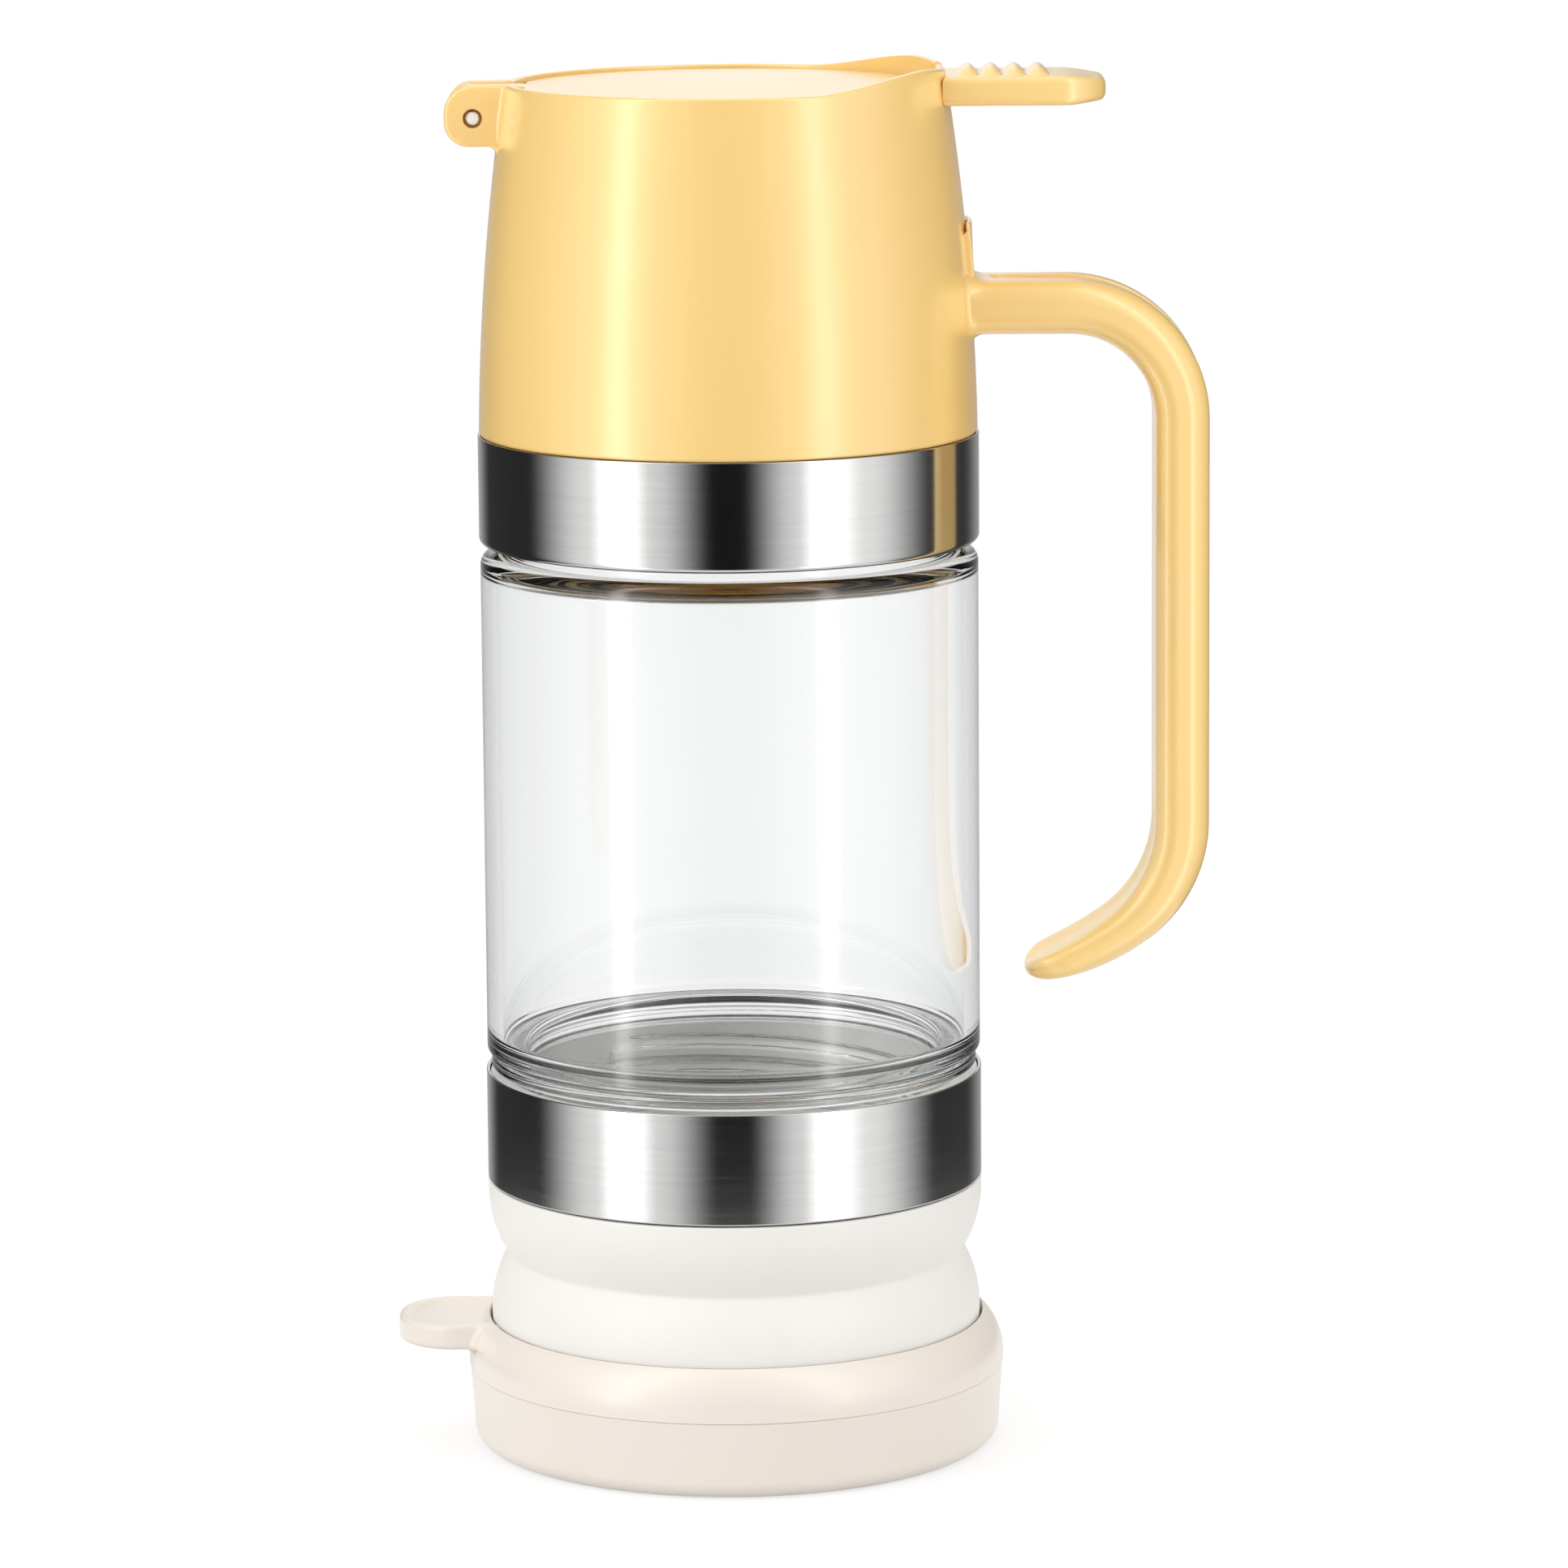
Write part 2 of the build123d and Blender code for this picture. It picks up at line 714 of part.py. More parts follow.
# Lid: a shallow plate that lies inside the rim
lid_gap = 0.55
lid_draft = 1.0
lid_t = 1.8
lid_lift = 0.8  # plate above its seat
lid_dome = 0.7
lid_edge = 0.4
hinge_trim = 2.1  # the plate ends this far short of the rim at the hinge
knuckle_r = 3.3
strap_t = 2.4
tab_start = 0.65  # outer tab beyond the rim
tab_len = 23.1
lid_tab_half_w = 9.5
lid_tab_t = 4.4
lid_tab_drop = 3.4  # underside of the tab below the rim
lid_neck_half_w = notch_half_w - run_gap
ridge_count = 4
ridge_pitch = 3.62
ridge_first = 2.45  # first ridge beyond the start of the tab
ridge_r = 1.35
ridge_rise = 1.3
ridge_sink = 0.5
ridge_edge = 1.1
ridge_half_len = 6.2
tip_thin = 0.6
tip_low = 9.2  # the tip thins over this length below
tip_high = 6.5  # and over this length above
tip_corner = 6.6
root_corner = 1.2
lid_r = rim_bore - lid_gap
lid_z = seat_z + lid_lift
lid_top = lid_z + lid_t
tab_x = rim_r + tab_start
tab_z = rim_z - lid_tab_drop
tab_top = tab_z + lid_tab_t
ridge_top = tab_top + ridge_rise
seal_w = 0.8
lid_seal_in = seat_bore + 0.2
lid_seal_groove = 0.5
strap_root = 1.5  # how far the strap and the tab's neck run into the plate
neck_root = 2.6
neck_ramp = 0.4
neck_lift = 0.5  # underside of the neck above that of the tab
tab_round = 0.8
trim_x = rim_bore - hinge_trim
strap_drop = 0.35
strap_ramp = 0.5
groove_roof = lid_z + lid_seal_groove + fit_gap
strap_top = rim_z - strap_drop
flank = 0.8 * knuckle_r
shoulder = 0.6 * knuckle_r

with BuildPart() as lid_plate:
    with BuildSketch(Plane.XZ):
        with BuildLine():
            Polyline(
                (0, lid_z),
                (lid_seal_in - fit_gap, lid_z),
                (lid_seal_in - fit_gap, lid_z + lid_seal_groove),
                (lid_seal_in + seal_w + fit_gap, lid_z + lid_seal_groove),
                (lid_seal_in + seal_w + fit_gap, lid_z),
                (lid_r - lid_draft, lid_z),
                (lid_r, lid_top - lid_edge),
                (lid_r, lid_top),
            )
            TangentArc((0, lid_top + lid_dome), (lid_r, lid_top), tangent=(1, 0))
            Line((0, lid_top + lid_dome), (0, lid_z))
        make_face()
    revolve(axis=Axis.Z)
    # Straight side at the hinge, which lets the plate swing past the rim
    with Locations((-trim_x - rim_r, 0, lid_z)):
        Box(2 * rim_r, 2 * rim_r, 2 * seat_drop, mode=Mode.SUBTRACT)
    # Strap from the plate over the knuckle
    with BuildSketch(Plane.XZ):
        with BuildLine():
            Polyline(
                (-trim_x + strap_root, groove_roof),
                (-trim_x + strap_root, lid_top),
                (-trim_x - strap_ramp, strap_top),
                (pin_x + strap_ramp, strap_top),
                (pin_x - flank, pin_z + shoulder),
                (pin_x, pin_z),
                (pin_x + flank, pin_z + shoulder),
                (pin_x + knuckle_r, strap_top - strap_t),
                (-trim_x, strap_top - strap_t),
                (-trim_x, groove_roof),
                close=True,
            )
        make_face()
        with Locations((pin_x, pin_z)):
            Circle(knuckle_r)
    extrude(amount=strap_half_w, both=True)
    # Neck of the tab, through the notch
    with BuildSketch(Plane.XZ):
        with BuildLine():
            Polyline(
                (lid_r - neck_root, groove_roof),
                (lid_r - neck_root, lid_top),
                (tab_x - neck_ramp, tab_top - fit_gap),
                (tab_x + neck_root, tab_top - fit_gap),
                (tab_x + neck_root, tab_z + neck_lift),
                (lid_r - lid_draft, tab_z + neck_lift),
                (lid_r - lid_draft - neck_ramp, groove_roof),
                close=True,
            )
        make_face()
    extrude(amount=lid_neck_half_w, both=True)
    with Locations(Location((pin_x, 0, pin_z), (90, 0, 0))):
        Cylinder(pin_r + 2 * pin_gap, 4 * strap_half_w, mode=Mode.SUBTRACT)

# The thumb tab: side view and plan in one, then its ridges
with BuildPart() as thumb_tab:
    with BuildSketch(Plane.XZ):
        with BuildLine():
            Polyline(
                (tab_x, tab_z),
                (tab_x + tab_len - tip_low, tab_z),
                (tab_x + tab_len, tab_z + tip_thin),
                (tab_x + tab_len, tab_top - tip_thin),
                (tab_x + tab_len - tip_high, tab_top),
                (tab_x, tab_top),
                close=True,
            )
        make_face()
    extrude(amount=lid_tab_half_w, both=True)
    with BuildSketch(Plane.XY.offset(tab_z - lid_tab_t)):
        with Locations((tab_x + tab_len / 2, 0)):
            Rectangle(tab_len, 2 * lid_tab_half_w)
        fillet(vertices().sort_by(Axis.X)[-2:], tip_corner)
        fillet(vertices().sort_by(Axis.X)[0:2], root_corner)
    extrude(amount=3 * lid_tab_t, mode=Mode.INTERSECT)
    fillet(thumb_tab.faces().sort_by(Axis.Z)[-1].outer_wire().edges(), tab_round)
    for index in range(ridge_count):
        with BuildSketch(Plane.XY.offset(tab_top - ridge_sink)):
            with Locations((tab_x + ridge_first + index * ridge_pitch, 0)):
                SlotCenterToCenter(2 * ridge_half_len, 2 * ridge_r, rotation=90)
        extrude(amount=ridge_sink + ridge_rise)
    ridge_tops = thumb_tab.edges().filter_by_position(Axis.Z, ridge_top - within, ridge_top + within)
    fillet(ridge_tops, ridge_edge)

with BuildPart() as lid:
    add(lid_plate.part)
    add(thumb_tab.part)

with BuildPart() as lid_seal:
    section = outline(
        (lid_seal_in, seat_z + seal_rest),
        (lid_seal_in + seal_w, seat_z + seal_rest),
        (lid_seal_in + seal_w, lid_z + lid_seal_groove),
        (lid_seal_in, lid_z + lid_seal_groove),
    )
    revolve(section, axis=Axis.Z)

pin_inset = 0.25
pin_chamfer = 0.2

with BuildPart() as hinge_pin:
    with Locations(Location((pin_x, 0, pin_z), (90, 0, 0))):
        Cylinder(pin_r, 2 * (ear_out - pin_inset))
    chamfer(hinge_pin.edges().filter_by(GeomType.CIRCLE), pin_chamfer)

# Handle: an arm, a grip and a hook in one, with a mounting plate that follows the casing
handle_half_w = 8.5
handle_t = 8.2
handle_reach = 34.8  # outside of the grip beyond the glass
arm_drop = 29.8  # top of the arm below the rim
elbow_r = 21.3
grip_len = 61.2
hook_r = 22.4
hook_turn = 61
hook_tip_r = 34
tip_turn = 24
tip_run = 9.4
tip_round = 1.3
inner_hook_r = 18.6
channel_half_w = 5.0
channel_depth = 0.9
plate_proud = 1.1
plate_lean = 0.9  # the casing narrows by this up to the plate's top
foot_proud = 1.3
web_lean = 0.6
channel_start = 4.0
plate_above = 8.7
plate_below = 3.2
arm_top = rim_z - arm_drop
arm_low = arm_top - handle_t
grip_out = glass_r + handle_reach
grip_in = grip_out - handle_t
elbow_x = grip_out - elbow_r
elbow_z = arm_top - elbow_r
hook_z = elbow_z - grip_len
handle_round = 1.2
web_top_r = 3.6
root_x = belly_r - casing_t
channel_x = belly_r + channel_start
plate_x = belly_r + plate_proud - plate_lean
foot_x = belly_r + foot_proud
web_top_x = plate_x + web_lean
screw_len = 9.0
screw_short = 0.5  # the hole is deeper than the screw by this
slot_len = 4.4
slot_w = 0.9
slot_depth = 1.1

with BuildPart() as handle:
    with BuildSketch(Plane.XZ):
        with BuildLine():
            Polyline(
                (root_x, arm_top + plate_above),
                (plate_x, arm_top + plate_above),
                (web_top_x, arm_top + web_top_r),
            )
            RadiusArc((web_top_x, arm_top + web_top_r), (web_top_x + web_top_r, arm_top), -web_top_r)
            Line((web_top_x + web_top_r, arm_top), (elbow_x, arm_top))
            RadiusArc((elbow_x, arm_top), (grip_out, elbow_z), elbow_r)
            Line((grip_out, elbow_z), (grip_out, hook_z))
            outer = JernArc((grip_out, hook_z), (0, -1), hook_r, -hook_turn)
            outer = JernArc(outer @ 1, outer % 1, hook_tip_r, -tip_turn)
            inner = JernArc((grip_in, hook_z), (0, -1), inner_hook_r, -hook_turn)
            Polyline(outer @ 1, inner @ 1 + inner % 1 * tip_run, inner @ 1)
            Line((grip_in, hook_z), (grip_in, elbow_z))
            RadiusArc((grip_in, elbow_z), (elbow_x, arm_low), -(elbow_r - handle_t))
            Line((elbow_x, arm_low), (foot_x + plate_below, arm_low))
            RadiusArc((foot_x + plate_below, arm_low), (foot_x, arm_low - plate_below), -plate_below)
            Polyline(
                (foot_x, arm_low - plate_below),
                (root_x, arm_low - plate_below),
                (root_x, arm_top + plate_above),
            )
        make_face()
        fillet(vertices().sort_by(Axis.Y)[0:4].sort_by(Axis.X)[0:2], tip_round)
    extrude(amount=handle_half_w, both=True)
    sides = handle.faces().filter_by(Axis.Y).edges()
    fillet([e for e in sides if e.center().X > foot_x + within], handle_round)
    # Shallow channel along the top of the arm and the outside of the grip
    with BuildSketch(Plane.XZ):
        with BuildLine():
            Line((channel_x, arm_top + channel_depth), (elbow_x, arm_top + channel_depth))
            RadiusArc(
                (elbow_x, arm_top + channel_depth),
                (grip_out + channel_depth, elbow_z),
                elbow_r + channel_depth,
            )
            Polyline(
                (grip_out + channel_depth, elbow_z),
                (grip_out + channel_depth, hook_z),
                (grip_out - channel_depth, hook_z),
                (grip_out - channel_depth, elbow_z),
            )
            RadiusArc(
                (grip_out - channel_depth, elbow_z),
                (elbow_x, arm_top - channel_depth),
                -(elbow_r - channel_depth),
            )
            Polyline(
                (elbow_x, arm_top - channel_depth),
                (channel_x + 2 * channel_depth, arm_top - channel_depth),
                (channel_x, arm_top + channel_depth),
            )
        make_face()
    extrude(amount=channel_half_w, both=True, mode=Mode.SUBTRACT)
    # The root follows the casing
    with BuildSketch(Plane.XZ):
        with BuildLine():
            ThreePointArc(
                (casing_r + fit_gap, casing_z), (belly_r + fit_gap, belly_z), (rim_r + fit_gap, rim_z)
            )
            Polyline((rim_r + fit_gap, rim_z), (0, rim_z), (0, casing_z), (casing_r + fit_gap, casing_z))
        make_face()
    revolve(axis=Axis.Z, mode=Mode.SUBTRACT)
    with Locations(Location((belly_r + screw_len / 2, 0, screw_z), (0, 90, 0))):
        Cylinder(screw_r, screw_len, mode=Mode.SUBTRACT)

# Screw of the handle: countersunk head inside the casing, thread in the handle's root
with BuildPart() as handle_screw:
    with BuildSketch(Plane.XZ):
        with BuildLine():
            Polyline(
                (head_x, screw_z),
                (head_x, screw_z + screw_head_r),
                (head_x + screw_head_h, screw_z + screw_r),
                (belly_r + screw_len - screw_short, screw_z + screw_r),
                (belly_r + screw_len - screw_short, screw_z),
                close=True,
            )
        make_face()
    revolve(axis=Axis((0, 0, screw_z), (1, 0, 0)))
    with BuildSketch(Plane.YZ.offset(head_x)):
        with Locations((0, screw_z)):
            Rectangle(slot_len, slot_w)
            Rectangle(slot_w, slot_len)
    extrude(amount=slot_depth, mode=Mode.SUBTRACT)

pieces = {
    "glass_jar": glass_jar,
    "lower_seal": lower_seal,
    "neck_seal": neck_seal,
    "neck_ring": neck_ring,
    "upper_band": upper_band,
    "lower_band": lower_band,
    "lower_collar": lower_collar,
    "squeeze_bellows": squeeze_bellows,
    "clamp_ring": clamp_ring,
    "outlet_plate": outlet_plate,
    "slit_valve": slit_valve,
    "valve_ring": valve_ring,
    "cap_tray": cap_tray,
    "cap_ring": cap_ring,
    "cap_plug": cap_plug,
    "casing": casing,
    "lid": lid,
    "lid_seal": lid_seal,
    "hinge_pin": hinge_pin,
    "handle": handle,
    "handle_screw": handle_screw,
}
for name, piece in pieces.items():
    piece.part.label = name
    export_step(piece.part, f"parts/{name}.step")
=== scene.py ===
import math

import bmesh
import bpy
from mathutils import Matrix, Vector


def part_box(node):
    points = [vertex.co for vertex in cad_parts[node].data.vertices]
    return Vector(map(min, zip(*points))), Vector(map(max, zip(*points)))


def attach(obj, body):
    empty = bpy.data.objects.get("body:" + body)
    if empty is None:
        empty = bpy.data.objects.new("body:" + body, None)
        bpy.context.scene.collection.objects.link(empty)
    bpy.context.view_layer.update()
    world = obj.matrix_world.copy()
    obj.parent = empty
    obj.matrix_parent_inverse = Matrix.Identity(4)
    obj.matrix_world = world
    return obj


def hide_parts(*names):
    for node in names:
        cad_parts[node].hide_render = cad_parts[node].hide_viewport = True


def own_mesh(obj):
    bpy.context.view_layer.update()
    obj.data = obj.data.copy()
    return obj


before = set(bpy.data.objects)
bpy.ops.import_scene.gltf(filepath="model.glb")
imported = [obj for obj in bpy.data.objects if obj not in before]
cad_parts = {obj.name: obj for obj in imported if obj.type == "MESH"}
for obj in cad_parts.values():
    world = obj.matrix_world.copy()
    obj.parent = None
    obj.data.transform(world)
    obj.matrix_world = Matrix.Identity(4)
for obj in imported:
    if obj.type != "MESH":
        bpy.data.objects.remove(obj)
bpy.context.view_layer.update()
mm = 0.001
fullTurn = 2 * math.pi
print("frame loaded:", len(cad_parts), "nodes")


def lowZ(node):  # in millimetres
    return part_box(node)[0].z / mm


def highZ(node):
    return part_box(node)[1].z / mm


def outerR(node):
    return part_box(node)[1].y / mm


# Heights and radii that several pieces share, in millimetres, read from the frame
wing = {
    "rise": 2.45, "startAngle": 67, "peakAngle": 26, "endAngle": 5,
    "ease": 0.88, "endDrop": 0.6, "endEase": 1.3,
}
headForm = {
    "taper": 4.55, "rimWall": 1.15, "seatDrop": 3.2, "seatWidth": 3.35, "bandProud": 0.2,
    "bellyIn": 0.34, "bellyUp": 0.54, "pinOut": 4.55, "pinDown": 4.9,
}
seamZ = highZ("cap_tray")
ringTopZ = highZ("cap_ring")
bandLowZ = lowZ("lower_band")
bandLowTopZ = highZ("lower_band")
bandHighZ = lowZ("upper_band")
casingZ = highZ("upper_band")
bandR = outerR("upper_band")
glassR = outerR("glass_jar")
rimZ = highZ("casing") - wing["rise"]
rimR = glassR - headForm["taper"]
rimBore = rimR - headForm["rimWall"]
seatZ = rimZ - headForm["seatDrop"]
seatBore = rimBore - headForm["seatWidth"]
casingR = bandR - headForm["bandProud"]
bellyR = casingR - headForm["bellyIn"] * (casingR - rimR)
bellyZ = casingZ + headForm["bellyUp"] * (rimZ - casingZ)
pinX = -(rimR + headForm["pinOut"])
pinZ = rimZ - headForm["pinDown"]


# Outlines are lists of 2-D points in millimetres, such as (radius, height)
def arcAround(centre, start, end, steps):
    centre, start, end = Vector(centre), Vector(start), Vector(end)
    first = math.atan2(start.y - centre.y, start.x - centre.x)
    sweep = math.atan2(end.y - centre.y, end.x - centre.x) - first
    sweep = (sweep + math.pi) % fullTurn - math.pi
    radius = (start - centre).length
    angles = [first + sweep * step / steps for step in range(steps + 1)]
    return [centre + radius * Vector((math.cos(a), math.sin(a))) for a in angles]


def arcThrough(start, middle, end, steps):
    a, b, c = Vector(start), Vector(middle), Vector(end)
    d = 2 * (a.x * (b.y - c.y) + b.x * (c.y - a.y) + c.x * (a.y - b.y))
    squares = [point.length_squared for point in (a, b, c)]
    centre = Vector((
        (squares[0] * (b.y - c.y) + squares[1] * (c.y - a.y) + squares[2] * (a.y - b.y)) / d,
        (squares[0] * (c.x - b.x) + squares[1] * (a.x - c.x) + squares[2] * (b.x - a.x)) / d,
    ))
    return arcAround(centre, a, c, steps)


def eased(share):  # 0 to 1 with a level start and end
    return share * share * (3 - 2 * share)


def roundOver(steps):
    # Shares of the radius that a quarter round lacks across and has gone along, from flat to side
    angles = [step / steps * math.pi / 2 for step in range(steps + 1)]
    return [(1 - math.sin(angle), 1 - math.cos(angle)) for angle in angles]


def radiusAt(curve, height):
    # Radius of a rising curve at a height, held past its ends
    for a, b in zip(curve, curve[1:]):
        if a.y <= height <= b.y:
            return a.x + (b.x - a.x) * (height - a.y) / (b.y - a.y)
    return curve[-1].x if height > curve[-1].y else curve[0].x


def roundedLoop(corners, closed=True, arcSteps=5, support=0.25):
    # A corner is (x, y) or (x, y, radius); support points keep the shading of flats even
    loop = []
    last = len(corners) - 1
    for index, corner in enumerate(corners):
        point = Vector(corner[:2])
        radius = corner[2] if len(corner) > 2 else 0
        if radius == 0 or (not closed and index in (0, last)):
            loop.append(point)
            continue
        before = Vector(corners[index - 1][:2]) - point
        after = Vector(corners[(index + 1) % len(corners)][:2]) - point
        half = before.angle(after) / 2
        reach = min(radius / math.tan(half), 0.48 * min(before.length, after.length))
        radius = reach * math.tan(half)
        before.normalize()
        after.normalize()
        centre = point + (before + after).normalized() * radius / math.sin(half)
        beyond = reach + min(support, 0.04 * min(before.length, after.length) + reach * 0.2)
        loop.append(point + before * beyond)
        loop += arcAround(centre, point + before * reach, point + after * reach, arcSteps)
        loop.append(point + after * beyond)
    return loop


def signedArea(loop):
    pairs = zip(loop, loop[1:] + loop[:1])
    return sum(a.x * b.y - b.x * a.y for a, b in pairs) / 2


def insetLoop(loop, distance):
    # Moves each point of a counter-clockwise loop inwards
    moved = []
    for index, point in enumerate(loop):
        before = (point - loop[index - 1]).normalized()
        after = (loop[(index + 1) % len(loop)] - point).normalized()
        normal = Vector((-(before.y + after.y), before.x + after.x)).normalized()
        bend = max(0.3, normal.dot(Vector((-after.y, after.x))))
        moved.append(point + normal * distance / bend)
    return moved


def meshObject(name, points, faces, uvs=None):
    mesh = bpy.data.meshes.new(name)
    mesh.from_pydata([tuple(mm * v for v in point) for point in points], [], faces)
    if uvs:
        layer = mesh.uv_layers.new(name="surface")
        layer.data.foreach_set("uv", [value for face in uvs for corner in face for value in corner])
    mesh.update()
    piece = bpy.data.objects.new(name, mesh)
    bpy.context.scene.collection.objects.link(piece)
    return piece


def turned(name, outline, segments=192, shape=None):
    # Turns a closed outline about Z; shape(angle, radius, height) may move a point
    loop = [Vector(point) for point in outline]
    if signedArea(loop) < 0:
        loop.reverse()
    points, rows, faces, uvs = [], [], [], []
    for point in loop:
        if abs(point.x) < 1e-6:
            rows.append([len(points)] * (segments + 1))
            points.append((0, 0, point.y))
            continue
        rows.append([len(points) + k for k in range(segments)] + [len(points)])
        for k in range(segments):
            angle = fullTurn * k / segments
            radius, height = shape(angle, point.x, point.y) if shape else point
            points.append((radius * math.cos(angle), radius * math.sin(angle), height))
    along = [0]
    for a, b in zip(loop, loop[1:] + loop[:1]):
        along.append(along[-1] + (b - a).length / (fullTurn * bandR))
    for i in range(len(loop)):
        j = (i + 1) % len(loop)
        for k in range(segments):
            face, uv = [], []
            for row, column, step in ((i, k, i), (i, k + 1, i), (j, k + 1, i + 1), (j, k, i + 1)):
                if rows[row][column] not in face:
                    face.append(rows[row][column])
                    uv.append((column / segments, along[step]))
            if len(face) > 2:
                faces.append(face)
                uvs.append(uv)
    return meshObject(name, points, faces, uvs)


def faceOutwards(piece):
    # Turns every face round when the closed mesh has a negative volume
    mesh = piece.data
    volume = 0
    for polygon in mesh.polygons:
        corners = [mesh.vertices[index].co for index in polygon.vertices]
        for a, b in zip(corners[1:], corners[2:]):
            volume += corners[0].dot(a.cross(b))
    if volume < 0:
        mesh.flip_normals()


def lofted(name, rings):
    # Joins closed rings of equally many points and closes both ends
    count = len(rings[0])
    points = [point for ring in rings for point in ring]
    faces = []
    for i in range(len(rings) - 1):
        for k in range(count):
            m = (k + 1) % count
            a, b = i * count, (i + 1) * count
            faces.append((a + k, a + m, b + m, b + k))
    faces.append(tuple(reversed(range(count))))
    faces.append(tuple(range(len(points) - count, len(points))))
    piece = meshObject(name, points, faces)
    faceOutwards(piece)
    return piece


def edgeLevels(low, high, lowEdge, highEdge, steps, support=0.2):
    # Levels (inset, height) of a plate's side between its two rounded edges
    levels = [(lowEdge + support + 0.1, low)]
    levels += [(lowEdge * across, low + lowEdge * along) for across, along in roundOver(steps)]
    levels += [(0, low + lowEdge + support), (0, high - highEdge - support)]
    levels += [(highEdge * across, high - highEdge * along) for across, along in reversed(roundOver(steps))]
    return levels


def thickPlate(name, outline, low, high, lowEdge, highEdge, place, steps=4):
    # A plate with rounded edges; place(x, y, level) puts a point of it in space
    loop = [Vector(point) for point in outline]
    if signedArea(loop) < 0:
        loop.reverse()
    levels = edgeLevels(low, high, lowEdge, highEdge, steps)
    levels.append((highEdge + 0.3, high))
    return lofted(name, [[place(p.x, p.y, z) for p in insetLoop(loop, inset)] for inset, z in levels])


def rod(name, centre, axis, stations, segments=64):
    # A turned rod along X or Y; a station is (place on the axis, radius)
    rings = []
    for place, radius in stations:
        ring = []
        for k in range(segments):
            angle = fullTurn * k / segments
            aside, z = radius * math.cos(angle), centre[2] + radius * math.sin(angle)
            ring.append((place, centre[1] + aside, z) if axis == "X" else (centre[0] + aside, place, z))
        rings.append(ring)
    return lofted(name, rings)


def blockOf(name, low, high):
    corners = [(low[1], low[2]), (high[1], low[2]), (high[1], high[2]), (low[1], high[2])]
    return lofted(name, [[(x, *corner) for corner in corners] for x in (low[0], high[0])])


def applied(piece):
    # The result of the modifiers becomes the piece's own mesh
    graph = bpy.context.evaluated_depsgraph_get()
    mesh = bpy.data.meshes.new_from_object(piece.evaluated_get(graph))
    piece.modifiers.clear()
    old = piece.data
    piece.data = mesh
    bpy.data.meshes.remove(old)
    mesh.name = piece.name


def combined(piece, operation, *others):
    # Booleans of closed meshes, applied one by one; the others are used up
    for other in others:
        step = piece.modifiers.new("combine", "BOOLEAN")
        step.operation = operation
        step.solver = "MANIFOLD"
        step.object = other
        applied(piece)
        bpy.data.objects.remove(other)


cleaning = {"mergeWithin": 0.000002, "leastFaces": 20}  # metres; faces of the smallest island that stays


def cleaned(piece):
    # Merges the doubles and drops the loose slivers that booleans leave
    work = bmesh.new()
    work.from_mesh(piece.data)
    bmesh.ops.remove_doubles(work, verts=work.verts, dist=cleaning["mergeWithin"])
    bmesh.ops.triangulate(work, faces=work.faces)
    bmesh.ops.dissolve_degenerate(work, edges=work.edges, dist=cleaning["mergeWithin"])
    left = set(work.faces)
    slivers = []
    while left:
        island = [left.pop()]
        for face in island:  # grows while its neighbours are found
            for edge in face.edges:
                if len(edge.link_faces) != 2:
                    continue
                for other in edge.link_faces:
                    if other in left:
                        left.remove(other)
                        island.append(other)
        if len(island) < cleaning["leastFaces"]:
            slivers += island
    bmesh.ops.delete(work, geom=slivers, context="FACES")
    work.to_mesh(piece.data)
    work.free()
    return piece


def finished(piece, body, slotName, material, *nodes, sharpAngle=40):
    # Shading, material, body and the nodes that the piece stands for
    mesh = piece.data
    mesh.materials.clear()
    mesh.materials.append(material)
    mesh.polygons.foreach_set("material_index", [0] * len(mesh.polygons))
    mesh.shade_smooth()
    mesh.set_sharp_from_angle(angle=math.radians(sharpAngle))
    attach(piece, body)
    if nodes:
        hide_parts(*nodes)
    return piece


# Materials
def addNode(tree, kind, values=None):
    node = tree.nodes.new("ShaderNode" + kind)
    for name, value in (values or {}).items():
        node.inputs[name].default_value = value
    return node


def emptied(holder, outputKind="OutputMaterial"):
    # Node tree of a material or the world, left with its output alone
    holder.use_nodes = True
    tree = holder.node_tree
    tree.nodes.clear()
    return tree, addNode(tree, outputKind)


def newMaterial(name, values):
    material = bpy.data.materials.new(name)
    tree, output = emptied(material)
    shader = addNode(tree, "BsdfPrincipled", values)
    tree.links.new(shader.outputs["BSDF"], output.inputs["Surface"])
    return material, tree, shader, output


def noiseOn(tree, scale, detail=2, stretch=(1, 1, 1), offset=(0, 0, 0)):
    # Noise on object coordinates; scale is in features per metre
    place = addNode(tree, "TexCoord")
    mapping = addNode(tree, "Mapping", {"Scale": stretch, "Location": offset})
    noise = addNode(tree, "TexNoise", {"Scale": scale, "Detail": detail})
    tree.links.new(place.outputs["Object"], mapping.inputs["Vector"])
    tree.links.new(mapping.outputs["Vector"], noise.inputs["Vector"])
    return noise.outputs["Fac"]


def ranged(tree, value, low, high, fromLow=0.15, fromHigh=0.85):
    # The span is wider than the noise, because a clamped peak shows as a spot
    ends = {"From Min": fromLow, "From Max": fromHigh, "To Min": low, "To Max": high}
    step = addNode(tree, "MapRange", ends)
    tree.links.new(value, step.inputs["Value"])
    return step.outputs["Result"]


def blended(tree, factor, first, second):
    mix = addNode(tree, "Mix")
    mix.data_type = "RGBA"
    mix.inputs[6].default_value = (*first, 1)
    mix.inputs[7].default_value = (*second, 1)
    tree.links.new(factor, mix.inputs[0])
    return mix.outputs[2]


def bumped(tree, shader, layers):
    # Each layer is (height output, depth in metres); they are stacked on one another
    previous = None
    for height, depth in layers:
        bump = addNode(tree, "Bump", {"Distance": depth})
        tree.links.new(height, bump.inputs["Height"])
        if previous:
            tree.links.new(previous, bump.inputs["Normal"])
        previous = bump.outputs["Normal"]
    tree.links.new(previous, shader.inputs["Normal"])


